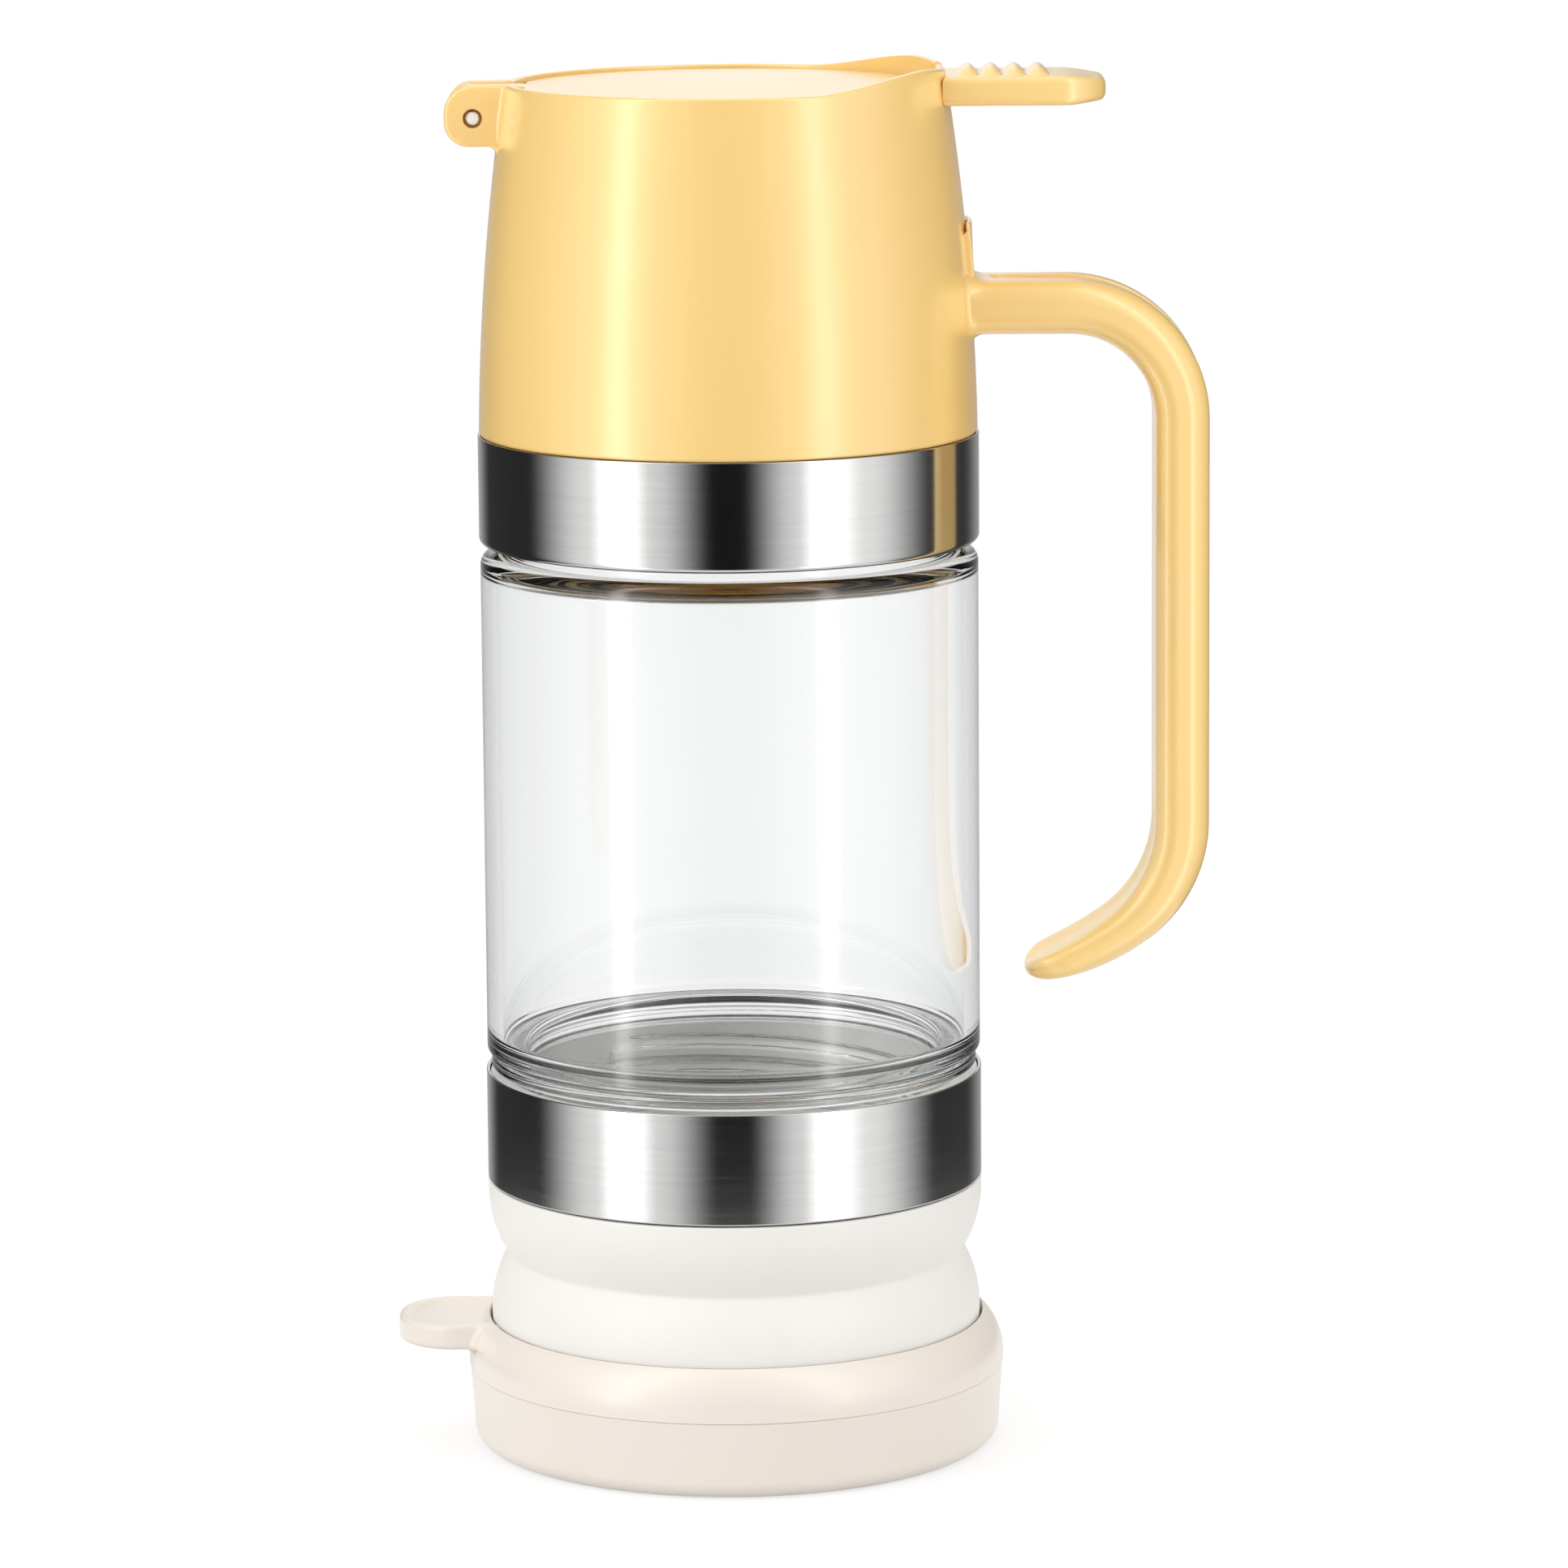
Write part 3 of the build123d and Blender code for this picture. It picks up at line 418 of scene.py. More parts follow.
def linear(*values):  # a display colour from 0 to 255 as scene-linear
    shares = [v / 255 for v in values]
    return tuple(s / 12.92 if s <= 0.04045 else ((s + 0.055) / 1.055) ** 2.4 for s in shares)


def mouldedPlastic(name, look):
    material, tree, shader, _ = newMaterial(name, look["shader"])
    mottle = ranged(tree, noiseOn(tree, look["mottleScale"], 3), 0, 1)
    tree.links.new(blended(tree, mottle, look["colour"], look["otherColour"]), shader.inputs["Base Color"])
    smudge = noiseOn(tree, look["smudgeScale"], 4, offset=(0.3, 0.1, 0))
    tree.links.new(ranged(tree, smudge, *look["roughness"]), shader.inputs["Roughness"])
    bumped(tree, shader, [
        (noiseOn(tree, look["waveScale"], 1), look["waveDepth"]),
        (noiseOn(tree, look["grainScale"], 2), look["grainDepth"]),
    ])
    return material


yellowLook = {
    "colour": linear(254, 215, 134),
    "otherColour": linear(253, 212, 129),
    "mottleScale": 60,
    "smudgeScale": 45,
    "roughness": (0.27, 0.33),
    "waveScale": 110,
    "waveDepth": 0.00004,
    "grainScale": 2600,
    "grainDepth": 0.000002,
    "shader": {"Specular IOR Level": 0.6, "Coat Weight": 1.0, "Coat Roughness": 0.25, "Coat IOR": 1.6},
}
creamLook = {
    "colour": linear(240, 232, 222),
    "otherColour": linear(237, 228, 217),
    "mottleScale": 50,
    "smudgeScale": 40,
    "roughness": (0.3, 0.38),
    "waveScale": 90,
    "waveDepth": 0.00004,
    "grainScale": 2400,
    "grainDepth": 0.000004,
    "shader": {"Coat Weight": 0.35, "Coat Roughness": 0.3},
}
siliconeLook = {
    "colour": linear(243, 241, 236),
    "otherColour": linear(240, 237, 231),
    "mottleScale": 40,
    "smudgeScale": 50,
    "roughness": (0.42, 0.52),
    "waveScale": 80,
    "waveDepth": 0.00005,
    "grainScale": 3000,
    "grainDepth": 0.000006,
    "shader": {"Sheen Weight": 0.05},
}
gasketLook = dict(siliconeLook, colour=linear(226, 226, 222), otherColour=linear(219, 219, 214))
innerLook = dict(creamLook, colour=linear(233, 231, 226), otherColour=linear(227, 225, 219))
yellow = mouldedPlastic("satinYellow", yellowLook)
threadYellow = mouldedPlastic("threadYellow", dict(yellowLook, roughness=(0.34, 0.42)))
cream = mouldedPlastic("creamCap", creamLook)
silicone = mouldedPlastic("whiteSilicone", siliconeLook)
gasket = mouldedPlastic("gasketSilicone", gasketLook)
innerPlastic = mouldedPlastic("innerPlastic", innerLook)


def brushedSteel(name, look):
    material, tree, shader, _ = newMaterial(name, look["shader"])
    fine = noiseOn(tree, look["lineScale"], 2, look["lineStretch"])
    broad = noiseOn(tree, look["lineScale"] / 4, 3, look["lineStretch"], (0.2, 0, 0.4))
    tone = blended(tree, ranged(tree, broad, 0, 1), look["colour"], look["otherColour"])
    tree.links.new(tone, shader.inputs["Base Color"])
    tree.links.new(ranged(tree, fine, *look["roughness"]), shader.inputs["Roughness"])
    bumped(tree, shader, [(fine, look["lineDepth"]), (broad, 2 * look["lineDepth"])])
    if "Anisotropic" in look["shader"]:
        tangent = addNode(tree, "Tangent")
        tangent.direction_type = "UV_MAP"
        tangent.uv_map = "surface"
        tree.links.new(tangent.outputs["Tangent"], shader.inputs["Tangent"])
    return material


sleeveLook = {
    "colour": (0.64, 0.635, 0.63),
    "otherColour": (0.58, 0.575, 0.57),
    "lineScale": 60,
    "lineStretch": (1, 1, 90),  # long round the sleeve, thin across it
    "lineDepth": 0.000001,
    "roughness": (0.11, 0.17),
    "shader": {"Metallic": 1, "Anisotropic": 0.5, "Anisotropic Rotation": 0.25},
}
# Lower collar: steel painted near white with little metal, as painted light that stands in for the light
# reaching it inside the glass
paleLitLook = dict(
    sleeveLook,
    colour=(0.97, 0.95, 0.92),
    otherColour=(0.94, 0.92, 0.89),
    roughness=(0.3, 0.4),
    shader={"Metallic": 0.1},
)
pinLook = dict(
    sleeveLook,
    colour=(0.95, 0.95, 0.95),
    otherColour=(0.9, 0.9, 0.9),
    roughness=(0.5, 0.6),
    shader={"Metallic": 1},
)
steel = brushedSteel("brushedSteel", sleeveLook)
turnedSteel = brushedSteel("turnedSteel", paleLitLook)
pinSteel = brushedSteel("pinSteel", pinLook)


def clearGlass(name, look):
    material, tree, shader, output = newMaterial(name, look["shader"])
    smudge = noiseOn(tree, look["smudgeScale"], 3)
    tree.links.new(ranged(tree, smudge, *look["roughness"]), shader.inputs["Roughness"])
    bumped(tree, shader, [(noiseOn(tree, look["waveScale"], 1), look["waveDepth"])])
    absorb = addNode(tree, "VolumeAbsorption", look["volume"])
    tree.links.new(absorb.outputs["Volume"], output.inputs["Volume"])
    return material


glassLook = {
    "smudgeScale": 30,
    "roughness": (0.0, 0.012),
    "waveScale": 45,
    "waveDepth": 0.00002,
    "shader": {"Base Color": (0.985, 0.99, 0.99, 1), "IOR": 1.5, "Transmission Weight": 1},
    "volume": {"Color": (0.55, 0.56, 0.565, 1), "Density": 40},
}
glass = clearGlass("clearGlass", glassLook)
print("materials made")


# Glass jar with a threaded neck at each end and a bead above the lower band
jar = {
    "bore": glassR - 2.45,
    "neckR": 34.05,
    "neckBore": 31.55,
    "lowRim": lowZ("glass_jar"),
    "highRim": highZ("glass_jar"),
    "beadR": glassR - 0.65,
    "beadLow": bandLowTopZ + 0.4,
    "beadHigh": bandLowTopZ + 2.0,
    "grooveR": glassR - 2.3,
    "foot": bandLowTopZ + 2.7,
    "top": bandHighZ - 1.5,
    "shoulder": 2.0,
    "threadDepth": 0.9,
    "threadLead": 8.0,
    "threadStarts": 2,
    "threadTurns": 0.85,
    "threadMargin": 2.6,
    "threadHalf": 1.0,
    "rowStep": 0.22,
}


def threadRidge(angle, height, firstZ):
    # Height of the rounded ridge at a place on the neck, from 0 to 1
    lead = jar["threadLead"]
    best = 0
    for start in range(jar["threadStarts"]):
        turn = (angle / fullTurn - start / jar["threadStarts"]) % 1
        for lap in (-1, 0, 1):
            along = turn + lap
            if not -0.01 <= along <= jar["threadTurns"] + 0.01:
                continue
            offset = abs(height - firstZ - lead * along) / jar["threadHalf"]
            ends = min(1, max(0, along / 0.03), max(0, (jar["threadTurns"] - along) / 0.03))
            if offset < 1:
                best = max(best, ends * (math.cos(offset * math.pi / 2) ** 0.7))
    return best


def neckRows(radius, low, high):
    count = max(2, round((high - low) / jar["rowStep"]))
    return [(radius, low + (high - low) * step / count) for step in range(1, count)]


def shapeJar(angle, radius, height):
    if abs(radius - jar["neckR"]) > 1e-3:
        return radius, height
    if height < jar["beadLow"]:
        firstZ = jar["lowRim"] + jar["threadMargin"]
    else:
        firstZ = jar["highRim"] - jar["threadMargin"] - jar["threadTurns"] * jar["threadLead"]
    return radius + jar["threadDepth"] * threadRidge(angle, height, firstZ), height


def makeJar():
    neckR, neckBore, bore, shoulder = jar["neckR"], jar["neckBore"], jar["bore"], jar["shoulder"]
    loop = roundedLoop([
        (neckBore, jar["lowRim"], 0.8),
        (neckR, jar["lowRim"], 0.8),
        *neckRows(neckR, jar["lowRim"] + 1.0, jar["beadLow"]),
        (neckR, jar["beadLow"], 0.2),
        (jar["beadR"], jar["beadLow"], 0.7),
        (jar["beadR"], jar["beadHigh"], 0.7),
        (jar["grooveR"], jar["beadHigh"], 0.2),
        (jar["grooveR"], jar["foot"], 0.2),
        (glassR, jar["foot"], 2.2),
        (glassR, (jar["foot"] + jar["top"]) / 2),
        (glassR, jar["top"], 2.2),
        (neckR, jar["top"], 0.3),
        *neckRows(neckR, jar["top"] + 0.4, jar["highRim"] - 0.9),
        (neckR, jar["highRim"], 0.8),
        (neckBore, jar["highRim"], 0.8),
        (neckBore, jar["top"] - shoulder, 1.2),
        (bore, jar["top"] - shoulder, 1.6),
        (bore, (jar["foot"] + jar["top"]) / 2),
        (bore, jar["foot"] + shoulder, 1.6),
        (neckBore, jar["foot"] + shoulder, 1.2),
    ], arcSteps=8)
    piece = turned("jarGlass", loop, 256, shapeJar)
    piece.visible_shadow = False  # the lamps reach what stands inside the glass
    return finished(piece, "jar", "clear_glass", glass, "glass_jar", sharpAngle=60)


makeJar()
print("glass jar made")


# Steel sleeves
sleeve = {"wall": 0.5, "roll": 1.0, "lip": 1.4, "edge": 0.15}


def makeSleeves():
    bore = bandR - sleeve["wall"]
    rollX, rollZ = bandR - sleeve["roll"], bandHighZ + sleeve["roll"]
    roll = arcAround((rollX, rollZ), (rollX, bandHighZ), (bandR, rollZ), 8)
    inner = arcAround((rollX, rollZ), (bore, rollZ), (rollX, bandHighZ + sleeve["wall"]), 6)
    loop = roundedLoop([
        (bandR - sleeve["lip"], bandHighZ),
        *roll,
        (bandR, bandHighZ + sleeve["lip"]),
        (bandR, (bandHighZ + casingZ) / 2),
        (bandR, casingZ, sleeve["edge"]),
        (bore, casingZ, sleeve["edge"]),
        *inner,
        (bandR - sleeve["lip"], bandHighZ + sleeve["wall"]),
    ], arcSteps=4)
    upper = turned("upperSleeve", loop, 256)
    finished(upper, "head", "upper_steel", steel, "upper_band")
    loop = roundedLoop([
        (bore, bandLowZ, sleeve["edge"]),
        (bandR, bandLowZ, sleeve["edge"]),
        (bandR, (bandLowZ + bandLowTopZ) / 2),
        (bandR, bandLowTopZ, sleeve["edge"]),
        (bore, bandLowTopZ, sleeve["edge"]),
    ], arcSteps=4)
    lower = turned("lowerSleeve", loop, 256)
    finished(lower, "base_unit", "lower_steel", steel, "lower_band")


makeSleeves()
print("steel sleeves made")


# Casing of the head
shell = {
    "wall": 2.3,
    "footRound": 0.6,
    "rimRound": 0.5,
    "boreRound": 0.3,
    "seatT": 1.6,
    "ledge": 2.4,
    "notchHalf": 6.6,
    "strapGap": 3.2,
    "earT": 2.8,
    "earR": 4.3,
    "earRound": 4.15,
    "earEdge": 0.45,
    "earFillet": 1.3,
    "sideFillet": 0.9,
    "pinHole": 1.03,
    "pinMouth": 1.45,
    "mouthDepth": 2.5,
    "seatCorner": 0.25,
    "seatRound": 0.3,
    "screwDrop": 33.9,
    "screwSink": 0.55,
    "screwHeadR": 4,
    "screwHoleR": 2.1,
}
casingCurve = arcThrough((casingR, casingZ), (bellyR, bellyZ), (rimR, rimZ), 32)


def casingRadius(height):
    return radiusAt(casingCurve, height)


def wingRise(angle):
    # Rise of the rim beside the tab, by the angle from the tab's side
    degrees = math.degrees(min(angle, fullTurn - angle))
    if degrees >= wing["startAngle"]:
        return 0
    if degrees >= wing["peakAngle"]:
        share = (wing["startAngle"] - degrees) / (wing["startAngle"] - wing["peakAngle"])
        return wing["rise"] * eased(share ** wing["ease"])
    past = (wing["peakAngle"] - degrees) / (wing["peakAngle"] - wing["endAngle"])
    return wing["rise"] - wing["endDrop"] * min(1, past) ** wing["endEase"]


def shapeCasing(angle, radius, height):
    if radius < rimBore - 0.05 or height <= seatZ + 0.05:
        return radius, height
    share = min(1, (height - seatZ) / (rimZ - shell["rimRound"] - 0.1 - seatZ))
    return radius, height + share * wingRise(angle)


def makeEar(side):
    top = rimZ - 0.05
    low = pinZ - shell["earR"]
    rootX = -(rimBore + 0.3)
    yIn = shell["strapGap"]
    yOut = yIn + shell["earT"]
    wallX = -math.sqrt(casingRadius(low) ** 2 - ((yIn + yOut) / 2) ** 2)
    fillet = shell["earFillet"]
    outline = roundedLoop([
        (rootX, top),
        (pinX - shell["earR"], top, shell["earRound"]),
        (pinX - shell["earR"], low, shell["earRound"]),
        (wallX, low, fillet),
        (wallX - 0.1, low - 2.2 * fillet),
        (rootX, low - 2.2 * fillet),
    ], arcSteps=12)
    return thickPlate("ear", outline, yIn, yOut, 0.25, shell["earEdge"], lambda x, z, y: (x, side * y, z))


def makeEarFillet(side):
    # Hollow fillet where the outside of an ear meets the casing, narrower at its foot
    yEar = shell["strapGap"] + shell["earT"]
    low, high = pinZ - shell["earR"] + 0.5, rimZ - 0.3
    rings = []
    for step in range(13):
        reach = shell["sideFillet"] * min(1, 0.3 + 0.7 * step / 4)
        height = low + (high - low) * step / 12
        radius = casingRadius(height)
        corner = Vector((-math.sqrt(radius ** 2 - yEar ** 2), yEar))
        onEar = corner + Vector((-reach, 0))
        angle = math.atan2(yEar, -corner.x) + reach / radius
        onWall = Vector((-radius * math.cos(angle), radius * math.sin(angle)))
        ring = [onEar + Vector((0, -0.3)), onEar]
        for k in range(1, 8):
            t = k / 8
            ring.append((1 - t) ** 2 * onEar + 2 * t * (1 - t) * corner + t * t * onWall)
        ring += [onWall, onWall * (1 - 0.3 / radius), corner + Vector((0.4, -0.4))]
        rings.append([(p.x, side * p.y, height) for p in ring])
    return lofted("earFillet", rings)


def makeCasing():
    wall, gap, half, high = shell["wall"], shell["strapGap"], shell["notchHalf"], rimZ + 9
    low = seatZ - shell["seatT"]
    inside = arcThrough(
        (rimR - wall, low - shell["ledge"]), (bellyR - wall, bellyZ), (casingR - wall, casingZ), 24
    )
    loop = roundedLoop([
        (casingR, casingZ, shell["footRound"]),
        *casingCurve[1:-1],
        (rimR, rimZ, shell["rimRound"]),
        (rimBore, rimZ, shell["boreRound"]),
        (rimBore, (rimZ + seatZ) / 2),
        (rimBore, seatZ, shell["seatCorner"]),
        (seatBore, seatZ, shell["seatRound"]),
        (seatBore, low, shell["seatRound"]),
        *inside,
    ], arcSteps=6)
    piece = turned("casingShell", loop, 240, shapeCasing)
    for side in (-1, 1):
        combined(piece, "UNION", makeEar(side), makeEarFillet(side))
    notch = blockOf("notch", (seatBore, -half, seatZ), (rimR + 5, half, high))
    way = blockOf("way", (-rimR - 1, -gap, seatZ), (-seatBore, gap, high))
    hole, mouth, yOut = shell["pinHole"], shell["pinMouth"], gap + shell["earT"]
    deep = yOut - shell["mouthDepth"]
    stations = [
        (-yOut - 1, mouth), (-deep, mouth), (-deep, hole), (deep, hole), (deep, mouth), (yOut + 1, mouth),
    ]
    pinBore = rod("pinBore", (pinX, 0, pinZ), "Y", stations)
    head, headR, shankR = bellyR - wall + shell["screwSink"], shell["screwHeadR"], shell["screwHoleR"]
    stations = [(head - 4, headR), (head, headR), (head + 1.5, shankR), (head + 5, shankR)]
    screwHole = rod("screwHole", (0, 0, rimZ - shell["screwDrop"]), "X", stations)
    combined(piece, "DIFFERENCE", notch, way, pinBore, screwHole)
    return finished(cleaned(piece), "head", "yellow_plastic", yellow, "casing")


makeCasing()
print("casing made")


# Lid with its strap, neck and thumb tab
lid = {
    "r": rimBore - 0.55,
    "z": seatZ + 0.8,
    "top": seatZ + 2.6,
    "dome": 0.7,
    "trimX": rimBore - 2.1,
    "strapHalf": 2.9,
    "strapTop": rimZ - 0.35,
    "strapT": 2.4,
    "knuckleR": 3.3,
    "pinWayR": 1.06,
    "neckHalf": 6.25,
    "tabX": rimR + 0.35,
    "tabLen": 23.4,
    "rootRound": 0.5,
    "rootBend": 6.0,
    "tabHalf": 9.5,
    "tabLow": rimZ - 3.4,
    "tabHigh": rimZ + 1.0,
    "tabEdge": 1.0,
    "tipCorner": 6.5,
    "tipThin": 0.55,
    "sealIn": seatBore + 0.2,
    "sealW": 0.8,
    "grooveH": 0.5,
}


def barSection(x, half, low, high, radius):
    radius = min(radius, 0.45 * (high - low), 0.45 * half)
    corners = [(half, low, radius), (half, high, radius), (-half, high, radius), (-half, low, radius)]
    return [(x, p.x, p.y) for p in roundedLoop(corners, arcSteps=6)]


def makeTab():
    start, end = lid["tabX"], lid["tabX"] + lid["tabLen"]
    low, high, half, edge = lid["tabLow"], lid["tabHigh"], lid["tabHalf"], lid["tabEdge"]
    neckTop = rimZ + wing["rise"] - wing["endDrop"]
    stations = [
        (lid["r"] - 2.6, lid["top"] - 0.1),
        (lid["r"] - 1.2, lid["top"] + 0.25),
        (rimBore - 0.3, lid["top"] + 0.9),
        (rimBore + 0.05, neckTop - 0.35),
        (rimBore + 0.25, neckTop - 0.08),
        (rimBore + 0.45, neckTop),
        (rimR - 0.45, neckTop),
        (rimR - 0.25, neckTop - 0.08),
        (rimR - 0.05, neckTop - 0.35),
        (start, high - 0.1),
    ]
    rings = [barSection(x, lid["neckHalf"], low + 0.5, top, 0.4) for x, top in stations]
    rings.append(barSection(start, lid["neckHalf"] + 0.6, low + 0.45, high - 0.35, 0.5))
    root = lid["rootRound"]
    for across, along in roundOver(6):  # rounded root corners
        inset = root * across
        rings.append(barSection(start + root * along, half - inset, low + inset, high - inset, edge))
    corner = lid["tipCorner"]
    body = end - corner - start - root
    for step in range(1, 17):
        rings.append(barSection(start + root + body * step / 16, half, low, high, edge))
    for across, along in roundOver(24)[1:]:  # rounded tip
        x = end - corner * across
        left = min(1, (end - x) / edge)
        shrink = edge * (1 - math.sqrt(1 - (1 - left) ** 2)) + lid["tipThin"] * eased(1 - across)
        rings.append(barSection(x, half - corner * along, low + shrink, high - shrink, edge))
    bent = []
    for ring in rings:  # the root follows the casing
        share = min(1, max(0, 1 - (ring[0][0] - start) / lid["rootBend"]))
        bent.append([(x - share * (start - math.sqrt(start ** 2 - y ** 2)), y, z) for x, y, z in ring])
    return lofted("tab", bent)


def makeStrap():
    trim, radius, top = lid["trimX"], lid["knuckleR"], lid["strapTop"]
    under = top - lid["strapT"]
    aside, up, lowest = 0.94 * radius, pinZ + 0.34 * radius, (pinX, pinZ - radius)
    around = arcAround((pinX, pinZ), (pinX - aside, up), lowest, 12)
    onward = arcAround((pinX, pinZ), lowest, (pinX + aside, up), 12)
    outline = roundedLoop([
        (-trim + 1.5, lid["z"] + 0.7),
        (-trim + 1.5, lid["top"] - 0.1, 0.3),
        (-trim - 0.5, top, 0.5),
        (pinX - 0.75 * radius, top, 1.8),
        *around,
        *onward[1:],
        (pinX + radius, under, 0.5),
        (-trim, under, 0.3),
        (-trim, lid["z"] + 0.7),
    ], arcSteps=6)
    half = lid["strapHalf"]
    return thickPlate("strap", outline, -half, half, 0.3, 0.3, lambda x, z, y: (x, y, z))


def makeLid():
    radius, low, top, dome = lid["r"], lid["z"], lid["top"], lid["dome"]
    shares = [0.97] + [tenths / 10 for tenths in range(9, -1, -1)]
    crown = [(radius * share, top + dome * (1 - share ** 2)) for share in shares]
    inner, outer = lid["sealIn"] - 0.1, lid["sealIn"] + lid["sealW"] + 0.1
    loop = roundedLoop([
        (0, low),
        (inner, low),
        (inner, low + lid["grooveH"]),
        (outer, low + lid["grooveH"]),
        (outer, low),
        (radius - 1, low, 0.3),
        (radius, top - 0.6, 0.5),
        (radius, top, 0.45),
        *crown,
    ], arcSteps=6)
    piece = turned("lidPlate", loop, 224)
    trim = blockOf("trim", (-radius - 9, -radius - 1, low - 2), (-lid["trimX"], radius + 1, top + 3))
    combined(piece, "DIFFERENCE", trim)
    combined(piece, "UNION", makeStrap(), makeTab())
    pinWay = [(-9, lid["pinWayR"]), (9, lid["pinWayR"])]
    combined(piece, "DIFFERENCE", rod("pinWay", (pinX, 0, pinZ), "Y", pinWay))
    return finished(cleaned(piece), "lid", "yellow_plastic", yellow, "lid")


makeLid()

# Grip ridges on the tab: one crest, repeated by Geometry Nodes
ridge = {
    "count": 4,
    "pitch": 3.51,
    "first": 2.75,
    "half": 1.75,
    "rise": 1.2,
    "halfLength": 6.6,
    "fade": 2.6,
    "sink": 0.3,
}


def ridgeBar():
    # A wave crest along Y that fades out towards both ends
    half, length = ridge["half"], ridge["halfLength"]
    rings = []
    for step in range(25):
        y = length * math.sin(math.pi / 2 * (step / 12 - 1))
        height = ridge["rise"] * math.sin(math.pi / 2 * min(1, (length - abs(y)) / ridge["fade"]))
        ring = [(-half, y, -ridge["sink"])]
        for k in range(15):
            x = half * (k / 7 - 1)
            ring.append((x, y, height * math.cos(math.pi / 2 * x / half) ** 1.2 - 0.04))
        ring.append((half, y, -ridge["sink"]))
        rings.append(ring)
    return lofted("ridgeBar", rings)


def ridgeTree():
    tree = bpy.data.node_groups.new("tabRidges", "GeometryNodeTree")
    kinds = {"Bar": "Object", "Count": "Int", "First": "Vector", "Pitch": "Float", "Finish": "Material"}
    sockets = {}
    for name, kind in kinds.items():
        sockets[name] = tree.interface.new_socket(name, in_out="INPUT", socket_type="NodeSocket" + kind)
    tree.interface.new_socket("Geometry", in_out="OUTPUT", socket_type="NodeSocketGeometry")
    add = tree.nodes.new
    inputs, output, line = add("NodeGroupInput"), add("NodeGroupOutput"), add("GeometryNodeMeshLine")
    offset, bar = add("ShaderNodeCombineXYZ"), add("GeometryNodeObjectInfo")
    place, real = add("GeometryNodeInstanceOnPoints"), add("GeometryNodeRealizeInstances")
    paint = add("GeometryNodeSetMaterial")
    for source, result, target, entry in (
        (inputs, "Count", line, "Count"),
        (inputs, "First", line, "Start Location"),
        (inputs, "Pitch", offset, "X"),
        (offset, "Vector", line, "Offset"),
        (inputs, "Bar", bar, "Object"),
        (line, "Mesh", place, "Points"),
        (bar, "Geometry", place, "Instance"),
        (place, "Instances", real, "Geometry"),
        (real, "Geometry", paint, "Geometry"),
        (inputs, "Finish", paint, "Material"),
        (paint, "Geometry", output, "Geometry"),
    ):
        tree.links.new(source.outputs[result], target.inputs[entry])
    return tree, sockets


def makeRidges():
    bar = ridgeBar()
    tree, sockets = ridgeTree()
    holder = meshObject("tabRidges", [(0, 0, 0)], [])
    step = holder.modifiers.new("ridges", "NODES")
    step.node_group = tree
    values = {
        "Bar": bar,
        "Count": ridge["count"],
        "First": (mm * (lid["tabX"] + ridge["first"]), 0, mm * lid["tabHigh"]),
        "Pitch": mm * ridge["pitch"],
        "Finish": yellow,
    }
    for name, value in values.items():
        step[sockets[name].identifier] = value
    applied(holder)
    bpy.data.objects.remove(bar)
    finished(holder, "lid", "yellow_plastic", yellow)


makeRidges()
print("lid made")


# Handle: a loft between its outer and its inner line
grip = {
    "half": 8.5,
    "edge": 3.2,
    "outX": glassR + 34.8,
    "thick": 8.2,
    "armTop": rimZ - 29.8,
    "elbowR": 21.3,
    "length": 61.6,
    "hookR": 22.4,
    "innerHookR": 18.6,
    "hookTurn": 54,
    "tipR": 34.0,
    "tipTurn": 34,
    "innerTipR": 58.0,
    "innerTipTurn": 13.6,
    "tipEase": 1.7,
    "tipPlan": 6.6,
    "tipRound": 3.0,
    "tipThin": 0.47,
    "webR": 3.6,
    "footR": 2.3,
    "sideR": 1.6,
    "sunk": 0.5,
    "plateHalf": 6.0,
    "plateAbove": 8.7,
    "plateProud": 1.0,
    "plateCorner": 0.7,
    "plateEdge": 0.2,
    "plateGap": 0.5,
    "gapLength": 1.6,
    "channelHalf": 2.0,
    "channelDepth": 3.4,
    "hollowHalf": 5.6,
    "hollowDepth": 0.8,
    "screwR": 2.02,
}


def swung(spoke, angle):
    return Vector((
        spoke.x * math.cos(angle) - spoke.y * math.sin(angle),
        spoke.x * math.sin(angle) + spoke.y * math.cos(angle),
    ))


def turnOn(point, heading, radius, degrees, steps, ease=1):
    # Points of an arc that starts at a heading and bends clockwise; ease above 1 packs them at its end
    centre = point + radius * Vector((heading.y, -heading.x))
    angle = -math.radians(degrees)
    shares = [1 - (1 - step / steps) ** ease for step in range(1, steps + 1)]
    return [centre + swung(point - centre, angle * share) for share in shares], swung(heading, angle)


